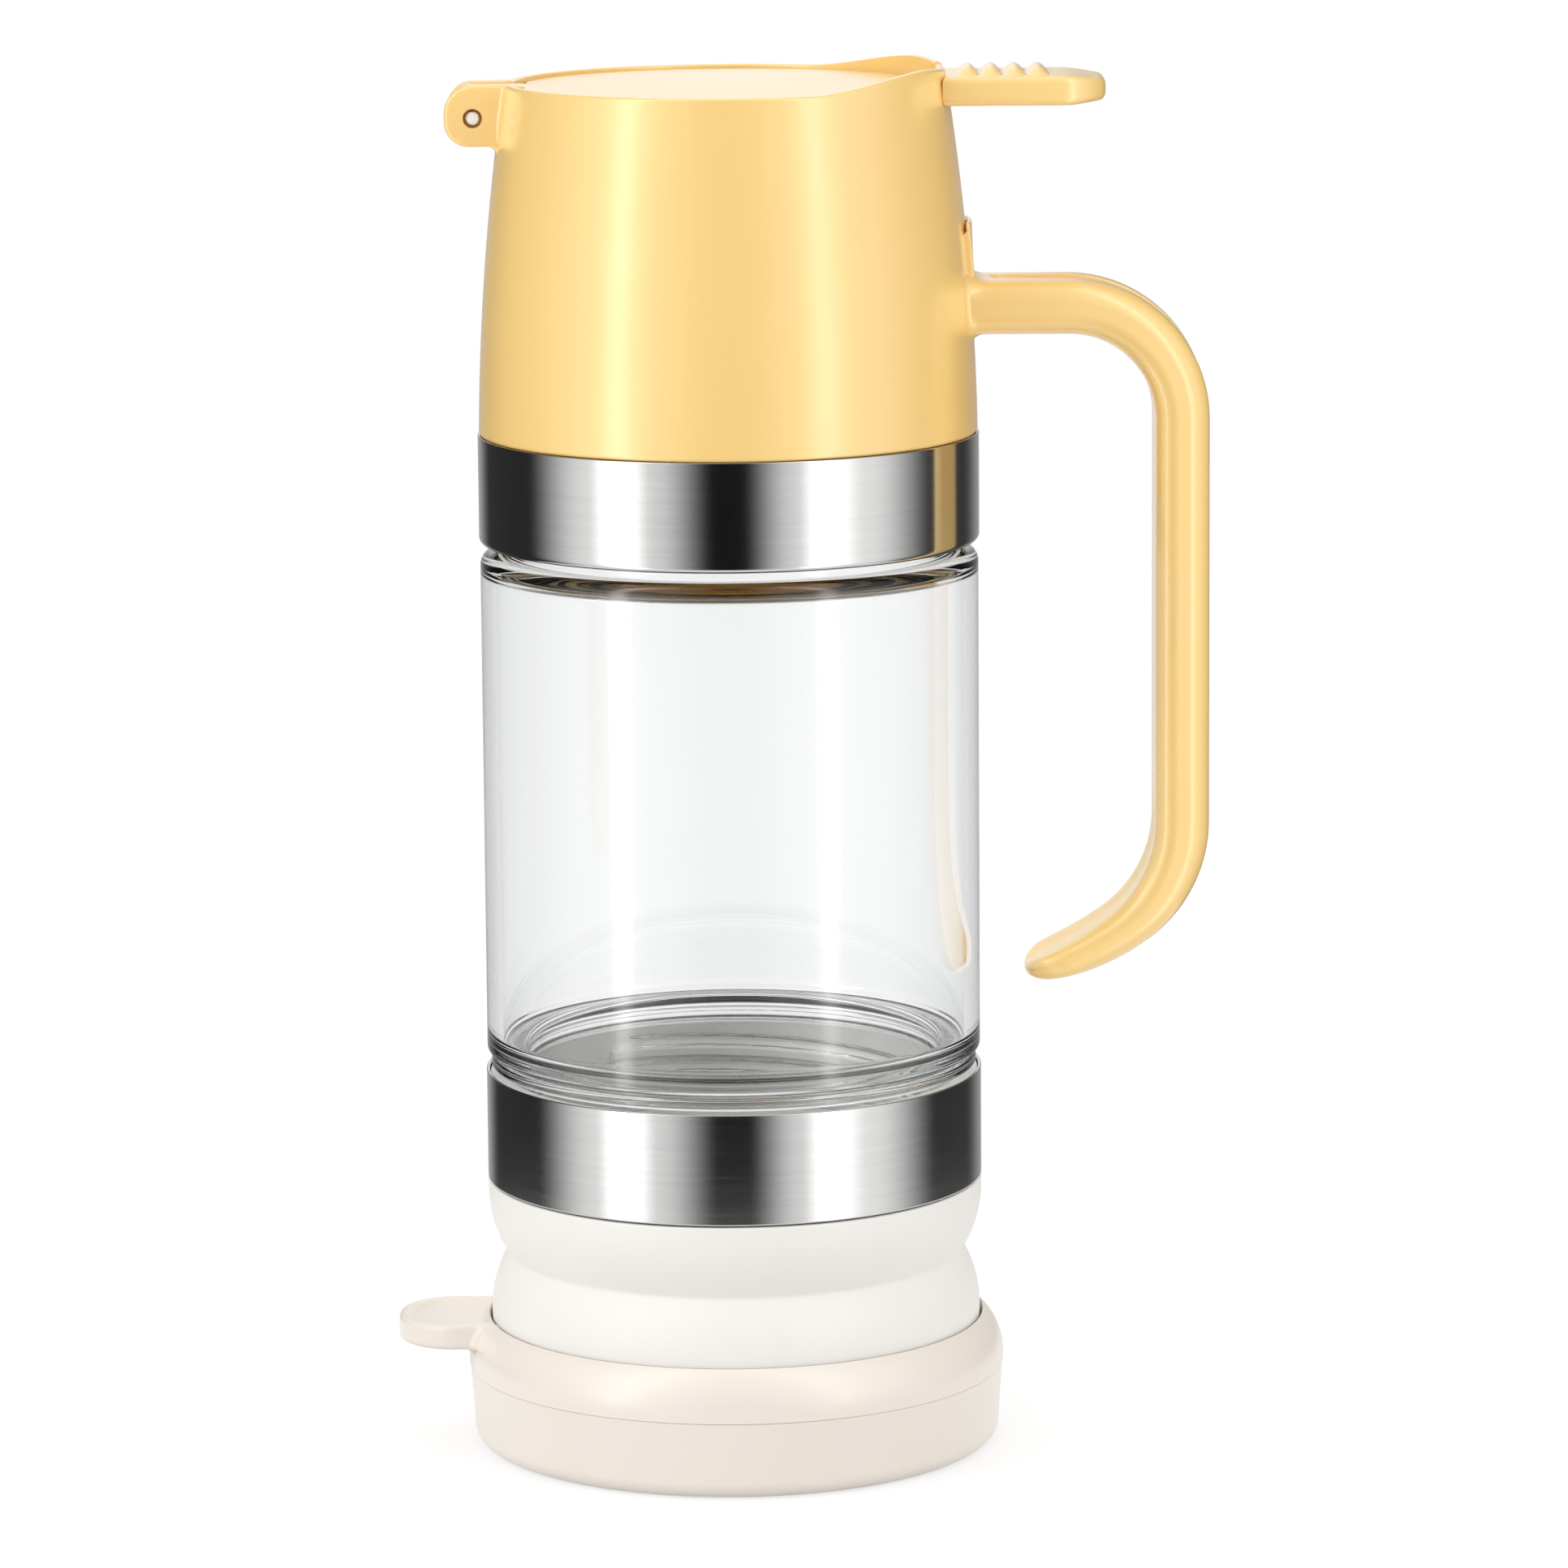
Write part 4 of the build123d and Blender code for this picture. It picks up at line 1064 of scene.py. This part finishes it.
def handleLines():
    # Matching points of the outer and the inner line, with shares of the channel, the hollow,
    # the root's flare and its wrap round the casing
    armTop, armLow = grip["armTop"], grip["armTop"] - grip["thick"]
    outX, inX = grip["outX"], grip["outX"] - grip["thick"]
    elbow = Vector((outX - grip["elbowR"], armTop - grip["elbowR"]))
    webR, footR, sideR = grip["webR"], grip["footR"], grip["sideR"]
    webX = casingRadius(armTop + webR) - grip["sunk"]
    footX = casingRadius(armLow - footR) - grip["sunk"]
    pairs = [((webX - 0.9, armTop + webR), (footX - 0.9, armLow - footR), 0, 0, 1, 1)]
    for across, along in roundOver(16):
        outer = (webX + webR * along, armTop + webR * across)
        inner = (footX + footR * along, armLow - footR * across)
        flare = 1 - math.sqrt(1 - max(0, 1 - webR * along / sideR) ** 2)
        pairs.append((outer, inner, 0, 0, flare, 1))
    startX = webX + webR
    for step in range(1, 9):
        x = startX + (elbow.x - startX) * step / 8
        pairs.append(((x, armTop), (x, armLow), step / 8, 0, 0, 1 - step / 8))
    for step in range(1, 25):
        angle = math.pi / 2 * (1 - step / 24)
        spoke = Vector((math.cos(angle), math.sin(angle)))
        inner = elbow + (grip["elbowR"] - grip["thick"]) * spoke
        pairs.append((elbow + grip["elbowR"] * spoke, inner, 1, 0, 0, 0))
    for step in range(1, 17):
        z = elbow.y - grip["length"] * step / 16
        pairs.append(((outX, z), (inX, z), min(1, (16 - step) / 2), max(0, (step - 13) / 3), 0, 0))
    hooks = []
    for x, bend, tipR, tipTurn in (
        (outX, grip["hookR"], grip["tipR"], grip["tipTurn"]),
        (inX, grip["innerHookR"], grip["innerTipR"], grip["innerTipTurn"]),
    ):
        start = Vector((x, elbow.y - grip["length"]))
        hook, heading = turnOn(start, Vector((0, -1)), bend, grip["hookTurn"], 24)
        hooks.append(hook + turnOn(hook[-1], heading, tipR, tipTurn, 32, grip["tipEase"])[0])
    pairs += [(a, b, 0, 1, 0, 0) for a, b in zip(*hooks)]
    return [(Vector(a), Vector(b), *shares) for a, b, *shares in pairs]


def handleSection(outer, inner, half, edge, channel, hollow):
    across = (outer - inner).normalized()
    thick = (outer - inner).length
    edge = min(edge, 0.42 * thick, 0.45 * half)
    wide = min(grip["channelHalf"], 0.6 * (half - edge))
    deep = max(0.004, channel * grip["channelDepth"])
    rim = min(grip["hollowHalf"], 0.95 * (half - edge))
    low = max(0.004, hollow * min(grip["hollowDepth"], 0.15 * rim))
    corners = [
        (half, 0, edge), (half, thick, edge),
        (wide + 0.3, thick, 0.3), (wide, thick - deep, 0.3),
        (-wide, thick - deep, 0.3), (-wide - 0.3, thick, 0.3),
        (-half, thick, edge), (-half, 0, edge),
    ]
    bed = [Vector((rim * (k / 6 - 1), low * math.sin(math.pi * k / 12))) for k in range(13)]
    ring = []
    for point in roundedLoop(corners, arcSteps=6) + bed:
        place = inner + across * point.y
        ring.append((place.x, point.x, place.y))
    return ring


def makePlate():
    # Mounting plate that follows the casing, open behind at its top
    low, high = grip["armTop"] - grip["thick"] + 1, grip["armTop"] + grip["plateAbove"]
    half, corner = grip["plateHalf"], grip["plateCorner"]
    side = [(half, low + (high - low) * k / 12) for k in range(1, 12)]
    otherSide = [(-y, z) for y, z in reversed(side)]
    edge = [(half - 2 * half * k / 10, high) for k in range(1, 10)]
    outline = roundedLoop([
        (-half, low, corner),
        (half, low, corner),
        *side,
        (half, high, corner),
        *edge,
        (-half, high, corner),
        *otherSide,
    ])

    def place(y, z, level):
        if z > high - grip["gapLength"]:
            level = max(level, grip["plateGap"])
        radius = casingRadius(z) + level
        return math.sqrt(radius ** 2 - y ** 2), y, z

    return thickPlate("plate", outline, -0.8, grip["plateProud"], 0.05, grip["plateEdge"], place)


def makeHandle():
    lines = handleLines()
    middles = [(line[0] + line[1]) / 2 for line in lines]
    remaining = [0.0]
    for a, b in zip(middles[::-1], middles[::-1][1:]):
        remaining.append(remaining[-1] + (a - b).length)
    remaining.reverse()
    rings = []
    tipPlan, tipRound = grip["tipPlan"], grip["tipRound"]
    for left, (outer, inner, channel, hollow, flare, wrap) in zip(remaining, lines):
        half = grip["half"] + flare * grip["sideR"]
        edge = grip["edge"] + flare * grip["sideR"]
        if left < tipPlan:
            half -= tipPlan - math.sqrt(tipPlan ** 2 - (tipPlan - left) ** 2)
        if left < tipRound:
            share = math.sqrt(max(0.0, tipRound ** 2 - (tipRound - left) ** 2)) / tipRound
            shrink = grip["tipThin"] * (outer - inner).length * (1 - share)
            across = (outer - inner).normalized()
            outer, inner = outer - across * shrink, inner + across * shrink
            half -= shrink
        ring = handleSection(outer, inner, max(0.6, half), edge, channel, hollow)
        if wrap:
            radius = casingRadius(ring[0][2])
            ring = [(x - wrap * (radius - math.sqrt(radius ** 2 - y ** 2)), y, z) for x, y, z in ring]
        rings.append(ring)
    piece = lofted("handleGrip", rings)
    combined(piece, "UNION", makePlate())
    stations = [(bellyR - 2, grip["screwR"]), (bellyR + 9, grip["screwR"])]
    combined(piece, "DIFFERENCE", rod("screwWay", (0, 0, rimZ - shell["screwDrop"]), "X", stations))
    return finished(cleaned(piece), "head", "yellow_plastic", yellow, "handle")


makeHandle()
print("handle made")


# Soft foot with one inward fold
foot = {
    "r": glassR - 0.2,
    "topR": glassR + 0.1,
    "wall": 1.8,
    "waist": 2.6,
    "waistUp": 10.1,
    "lowZ": lowZ("squeeze_bellows"),
    "chamfer": 1.0,
    "flangeR": 35.25,
    "neckR": 33.45,
    "collarZ": bandLowZ + 2.1,
    "topGap": 0.3,
    "lipWidth": 4.4,
    "lipT": 1.5,
    "grooveDepth": 2.6,
    "grooveHeight": 2.3,
}


def bulgeArc(endR, endZ, waistR, waistZ, steps):
    # Arc that is upright at its end and meets the waist
    drop, rise = endR - waistR, waistZ - endZ
    radius = (drop ** 2 + rise ** 2) / (2 * drop)
    return arcAround((endR - radius, endZ), (endR, endZ), (waistR, waistZ), steps)


def makeFoot():
    r, topR, wall = foot["r"], foot["topR"], foot["wall"]
    waistR, waistZ = r - foot["waist"], ringTopZ + foot["waistUp"]
    lowBend, highBend = ringTopZ + 0.9, bandLowZ - 2.1
    low, top = foot["lowZ"], bandLowZ - foot["topGap"]
    outerLow = bulgeArc(r, lowBend, waistR, waistZ, 12)
    outerHigh = bulgeArc(topR, highBend, waistR, waistZ, 12)[::-1]
    innerHigh = bulgeArc(topR - wall, highBend, waistR - wall, waistZ, 12)
    innerLow = bulgeArc(r - wall, lowBend, waistR - wall, waistZ, 12)[::-1]
    lipR, lipTop, grooveR = r - foot["lipWidth"], low + foot["lipT"], r - foot["grooveDepth"]
    grooveTop = lipTop + foot["grooveHeight"]
    loop = roundedLoop([
        (lipR, low, 0.3),
        (r - foot["chamfer"], low, 0.5),
        (r, low + foot["chamfer"], 0.5),
        *outerLow[:-1],
        (waistR, waistZ, 0.8),
        *outerHigh[1:],
        (topR, top, 0.35),
        (foot["flangeR"], top, 0.15),
        (foot["flangeR"], foot["collarZ"], 0.15),
        (foot["neckR"], foot["collarZ"], 0.15),
        (foot["neckR"], top, 0.15),
        (topR - wall, top, 0.2),
        *innerHigh[:-1],
        (waistR - wall, waistZ, 0.8),
        *innerLow[1:],
        (r - wall, grooveTop + foot["lipT"], 0.2),
        (grooveR, grooveTop + foot["lipT"], 0.2),
        (grooveR, grooveTop, 0.2),
        (r - wall, grooveTop, 0.1),
        (r - wall, lipTop, 0.1),
        (lipR, lipTop, 0.3),
    ], arcSteps=5)
    piece = turned("squeezeFoot", loop, 192)
    finished(piece, "base_unit", "soft_silicone", silicone, "squeeze_bellows", sharpAngle=60)
    low, high = mm * low, mm * top
    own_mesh(piece)


makeFoot()
print("soft foot made")


# Base cap: the tray that everything stands on, and the ring with the pull tab
cap = {
    "r": glassR + 3.3,
    "draft": 0.75,
    "round": 2.6,
    "floor": 2.4,
    "bore": glassR + 0.1,
    "jointT": 1.25,
    "jointDepth": 2.9,
    "ringProud": 0.1,
    "seamGap": 0.05,
    "tabReach": 10.9,
    "tabHalf": 10.0,
    "tabT": 4.0,
    "tabCorner": 9.2,
    "tabEdge": 0.9,
    "flareR": 5.0,
    "dish": 1.0,
    "dishRim": 1.3,
    "dishSlope": 2.4,
    "webR": 2.2,
    "webHalf": 8.5,
}
ringSide = arcThrough(
    (cap["r"] + cap["ringProud"], seamZ + 1),
    (cap["r"] - 0.75, seamZ + 5),
    (cap["r"] - 2.6, ringTopZ - 0.3),
    12,
)


def makeTray():
    lowR = cap["r"] - cap["draft"]
    bore = cap["bore"] + cap["jointT"] + 0.1
    loop = roundedLoop([
        (0, 0),
        (lowR - 6, 0),
        (lowR, 0, cap["round"]),
        (cap["r"] - 0.4, seamZ - 5),
        (cap["r"], seamZ, 0.1),
        (bore, seamZ, 0.15),
        (bore, seamZ - cap["jointDepth"] - 0.1),
        (bore - cap["draft"], cap["floor"], 1.0),
        (12, cap["floor"]),
        (0, cap["floor"]),
    ], arcSteps=8)
    piece = turned("capTray", loop, 224)
    return finished(piece, "stand", "cream_plastic", cream, "cap_tray")


def makePullTab():
    half, corner, flare = cap["tabHalf"], cap["tabCorner"], cap["flareR"]
    left = -(cap["r"] + cap["tabReach"])
    flareY = half + 1.3 * flare
    side = roundedLoop([
        (-28, flareY),
        (-math.sqrt(cap["r"] ** 2 - flareY ** 2), flareY),
        (-math.sqrt(cap["r"] ** 2 - half ** 2) - 0.9, half, flare),
        (left + corner, half),
    ], closed=False, arcSteps=10)
    tip = arcAround((left + corner, half - corner), side[-1], (left, half - corner), 24)
    upper = side[:-1] + tip
    plan = upper + [Vector((p.x, -p.y)) for p in reversed(upper)]
    if signedArea(plan) < 0:
        plan.reverse()
    top, edge, rim, dish = ringTopZ, cap["tabEdge"], cap["dishRim"] - 0.2, cap["dish"]
    levels = edgeLevels(top - cap["tabT"], top, edge, edge, 6, support=0.3)
    for step in range(9):  # soft slope into the dish
        levels.append((rim + cap["dishSlope"] * step / 8, top - dish * eased(step / 8)))
    levels.append((rim + cap["dishSlope"] + 0.6, top - dish))
    rings = []
    for inset, z in levels:  # near the ring the tab's sides follow its wall
        ring = []
        for p in insetLoop(plan, inset):
            share = min(1, max(0, (cap["r"] + flare - p.length) / flare))
            p = p * (1 - share * (cap["r"] - radiusAt(ringSide, z) + 0.1) / p.length)
            ring.append((p.x, p.y, z))
        rings.append(ring)
    return lofted("pullTab", rings)


def makeTabWeb():
    # Hollow fillet between the underside of the tab and the ring
    radius, top = cap["webR"], ringTopZ - cap["tabT"]
    rings = []
    for step in range(17):
        y = cap["webHalf"] * (2 * step / 16 - 1)
        wallX = -math.sqrt((cap["r"] - 0.35) ** 2 - y ** 2)
        ring = [(wallX + 2, y, top + 0.6), (wallX - radius, y, top + 0.6)]
        ring += [(wallX - radius * across, y, top - radius * along) for across, along in roundOver(8)]
        ring.append((wallX + 2, y, top - radius))
        rings.append(ring)
    return lofted("tabWeb", rings)


def makeRing():
    bore, inner = cap["bore"], cap["bore"] + cap["jointT"]
    loop = roundedLoop([
        (cap["r"] + cap["ringProud"], seamZ + cap["seamGap"], 0.1),
        *ringSide,
        (cap["r"] - 3.0, ringTopZ, 0.3),
        (bore, ringTopZ, 0.2),
        (bore, seamZ - cap["jointDepth"], 0.2),
        (inner, seamZ - cap["jointDepth"], 0.2),
        (inner, seamZ + cap["seamGap"]),
    ], arcSteps=5)
    piece = turned("capRing", loop, 224)
    combined(piece, "UNION", makePullTab(), makeTabWeb())
    form = [(0, 0), (bore, 0), (bore, ringTopZ + 9), (0, ringTopZ + 9)]
    combined(piece, "DIFFERENCE", turned("footForm", form, 224))
    return finished(cleaned(piece), "stand", "cream_plastic", cream, "cap_ring")


makeTray()
makeRing()
print("base cap made")


# Gaskets, plug and slit valve: soft pieces that stand for their solids
slit = {"long": 6.0, "wide": 0.25}


def gasketRing(name, node, body, inner, edge=0.3):
    low, high, outer = lowZ(node), highZ(node), outerR(node)
    loop = roundedLoop([(inner, low, edge), (outer, low, edge), (outer, high, edge), (inner, high, edge)])
    return finished(turned(name, loop, 128), body, "seal_silicone", gasket, node)


def makeSoftPieces():
    gasketRing("lowerGasket", "lower_seal", "jar_gasket", jar["neckBore"] + 0.2)
    gasketRing("neckGasket", "neck_seal", "head_gasket", jar["neckBore"] + 0.2)
    gasketRing("lidGasket", "lid_seal", "lid", lid["sealIn"], 0.2)
    low, high, outer = lowZ("cap_plug"), highZ("cap_plug"), outerR("cap_plug")
    loop = roundedLoop([(0, low), (outer, low), (outer, high - 1, 0.3), (outer - 1, high, 0.3), (0, high)])
    finished(turned("sealPlug", loop, 96), "stand", "seal_silicone", gasket, "cap_plug")
    low, high, outer = lowZ("slit_valve") + 0.5, highZ("slit_valve"), outerR("slit_valve")
    loop = roundedLoop([
        (0, low - 0.5),
        (2.6, low - 0.35),
        (5.5, low, 0.3),
        (outer, low, 0.15),
        (outer, high, 0.15),
        (4.7, high, 0.3),
        (2.4, high - 0.35),
        (0, high - 0.5),
    ])
    valve = turned("slitValve", loop, 96)
    long, thin = slit["long"] / 2, slit["wide"] / 2
    for x, y in ((long, thin), (thin, long)):
        combined(valve, "DIFFERENCE", blockOf("slit", (-x, -y, low - 3), (x, y, high + 3)))
    finished(valve, "outlet", "valve_silicone", gasket, "slit_valve")


makeSoftPieces()

# Nodes whose shape stays, with a better finish; the lower collar's near-white colour is painted light
finishes = {
    "neck_ring": threadYellow,
    "lower_collar": turnedSteel,
    "clamp_ring": innerPlastic,
    "outlet_plate": innerPlastic,
    "valve_ring": innerPlastic,
    "hinge_pin": pinSteel,
    "handle_screw": pinSteel,
}
for node, material in finishes.items():
    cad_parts[node].material_slots[0].material = material
print("small pieces made")


# Camera
view = {"place": (8.02, -1125, 298.9), "aim": (8.02, 0, 101.9), "lens": 171.6, "roll": -0.447}


def makeCamera():
    camera = bpy.data.objects.new("camera", bpy.data.cameras.new("camera"))
    bpy.context.scene.collection.objects.link(camera)
    camera.data.lens = view["lens"]
    camera.data.sensor_width = 36
    place, aim = mm * Vector(view["place"]), mm * Vector(view["aim"])
    turn = (aim - place).to_track_quat("-Z", "Y").to_matrix().to_4x4()
    roll = Matrix.Rotation(math.radians(view["roll"]), 4, "Z")
    camera.matrix_world = Matrix.Translation(place) @ turn @ roll
    bpy.context.scene.camera = camera


makeCamera()

# World, floor, lamps and the shades that the steel mirrors
studio = {
    "ambient": 0.98,
    "floorColour": 0.68,
    "floorGlow": 0.66,
    "floorSeen": 0.35,
    "floorHalf": 4000,
    "floorZ": -0.02,
    # place in metres and power in watts
    "lamps": (((-1.1, -0.6, 0.75), 4.4), ((1.1, -0.65, 0.7), 2.4), ((0.0, 0.5, 1.2), 1.0)),
    "lampSize": (0.6, 0.9),
    "shadeR": 170,
    "shadeLow": -5,
    "shadeHigh": 600,
    # (degrees from the front, brightness)
    "shades": (
        (-180, 1.0), (-168, 0.95), (-152, 0.4), (-130, 0.04), (-94, 0.03), (-60, 1.1), (-53, 1.7), (-46, 6.0),
        (-39, 1.7), (-31, 1.0), (-6, 0.01), (6, 0.01), (28, 1.0), (34, 1.6), (41, 4.8), (48, 1.7), (58, 1.2),
        (98, 0.04), (125, 0.05), (152, 0.35), (168, 0.95), (180, 1.0),
    ),
}


def whiteForSight(tree):
    # 1 for rays that show the surface itself, 0 for rays that gather light
    rays = addNode(tree, "LightPath")
    total = rays.outputs["Is Camera Ray"]
    for name in ("Is Glossy Ray", "Is Transmission Ray"):
        add = addNode(tree, "Math")
        add.operation = "ADD"
        add.use_clamp = True
        tree.links.new(total, add.inputs[0])
        tree.links.new(rays.outputs[name], add.inputs[1])
        total = add.outputs[0]
    return total


def makeWorld():
    world = bpy.data.worlds.new("studio")
    bpy.context.scene.world = world
    tree, output = emptied(world, "OutputWorld")
    mix = addNode(tree, "MixShader")
    for slotIndex, strength in ((1, studio["ambient"]), (2, 1.0)):
        background = addNode(tree, "Background", {"Strength": strength, "Color": (1, 1, 1, 1)})
        tree.links.new(background.outputs[0], mix.inputs[slotIndex])
    tree.links.new(whiteForSight(tree), mix.inputs[0])
    tree.links.new(mix.outputs[0], output.inputs["Surface"])


def makeFloor():
    half, z = studio["floorHalf"], studio["floorZ"]
    corners = [(-half, -half, z), (half, -half, z), (half, half, z), (-half, half, z)]
    floor = meshObject("floor", corners, [(0, 1, 2, 3)])
    material = bpy.data.materials.new("paleFloor")
    tree, output = emptied(material)
    plain, seen = [
        addNode(tree, "BsdfDiffuse", {"Color": (*[studio[name]] * 3, 1)})
        for name in ("floorColour", "floorSeen")
    ]
    glow = addNode(tree, "Emission", {"Strength": studio["floorGlow"]})
    both, mix = addNode(tree, "AddShader"), addNode(tree, "MixShader")
    tree.links.new(seen.outputs[0], both.inputs[0])
    tree.links.new(glow.outputs[0], both.inputs[1])
    tree.links.new(whiteForSight(tree), mix.inputs[0])
    tree.links.new(plain.outputs[0], mix.inputs[1])
    tree.links.new(both.outputs[0], mix.inputs[2])
    tree.links.new(mix.outputs[0], output.inputs["Surface"])
    floor.data.materials.append(material)


def glowMaterial(name):
    material = bpy.data.materials.new(name)
    tree, output = emptied(material)
    shine, read = addNode(tree, "Emission"), addNode(tree, "Attribute")
    read.attribute_name = "glow"
    tree.links.new(read.outputs["Fac"], shine.inputs["Strength"])
    tree.links.new(shine.outputs[0], output.inputs["Surface"])
    material.cycles.emission_sampling = "NONE"
    return material


def shadeAt(degrees):
    stops = studio["shades"]
    for (a, low), (b, high) in zip(stops, stops[1:]):
        if a <= degrees <= b:
            return low + (high - low) * eased((degrees - a) / (b - a))
    return 0


def makeShades():
    # An upright drum round the object that only glossy rays see
    radius, count = studio["shadeR"], 360  # one strip of the drum to a degree
    points, faces, glow = [], [], []
    for degrees in range(-180, 180):
        angle = math.radians(degrees - 90)
        for z in (studio["shadeLow"], studio["shadeHigh"]):
            points.append((radius * math.cos(angle), radius * math.sin(angle), z))
            glow.append(shadeAt(degrees))
    for k in range(count):
        m = (k + 1) % count
        faces.append((2 * k, 2 * k + 1, 2 * m + 1, 2 * m))
    drum = meshObject("shadeDrum", points, faces)
    drum.data.attributes.new("glow", "FLOAT", "POINT").data.foreach_set("value", glow)
    drum.data.materials.append(glowMaterial("shadeDrum"))
    for kind in ("camera", "diffuse", "glossy", "transmission", "volume_scatter", "shadow"):
        setattr(drum, "visible_" + kind, kind == "glossy")


def makeLamps():
    aim = Vector((0, 0, 0.11))
    for index, (place, power) in enumerate(studio["lamps"]):
        data = bpy.data.lights.new(f"lamp{index}", "AREA")
        data.shape = "RECTANGLE"
        data.size, data.size_y = studio["lampSize"]
        data.energy = power
        lamp = bpy.data.objects.new(f"lamp{index}", data)
        bpy.context.scene.collection.objects.link(lamp)
        lamp.location = place
        lamp.rotation_euler = (aim - lamp.location).to_track_quat("-Z", "Y").to_euler()
        lamp.visible_glossy = False


makeWorld()
makeFloor()
makeShades()
makeLamps()
bpy.context.scene.view_settings.view_transform = "Standard"
print("studio made")
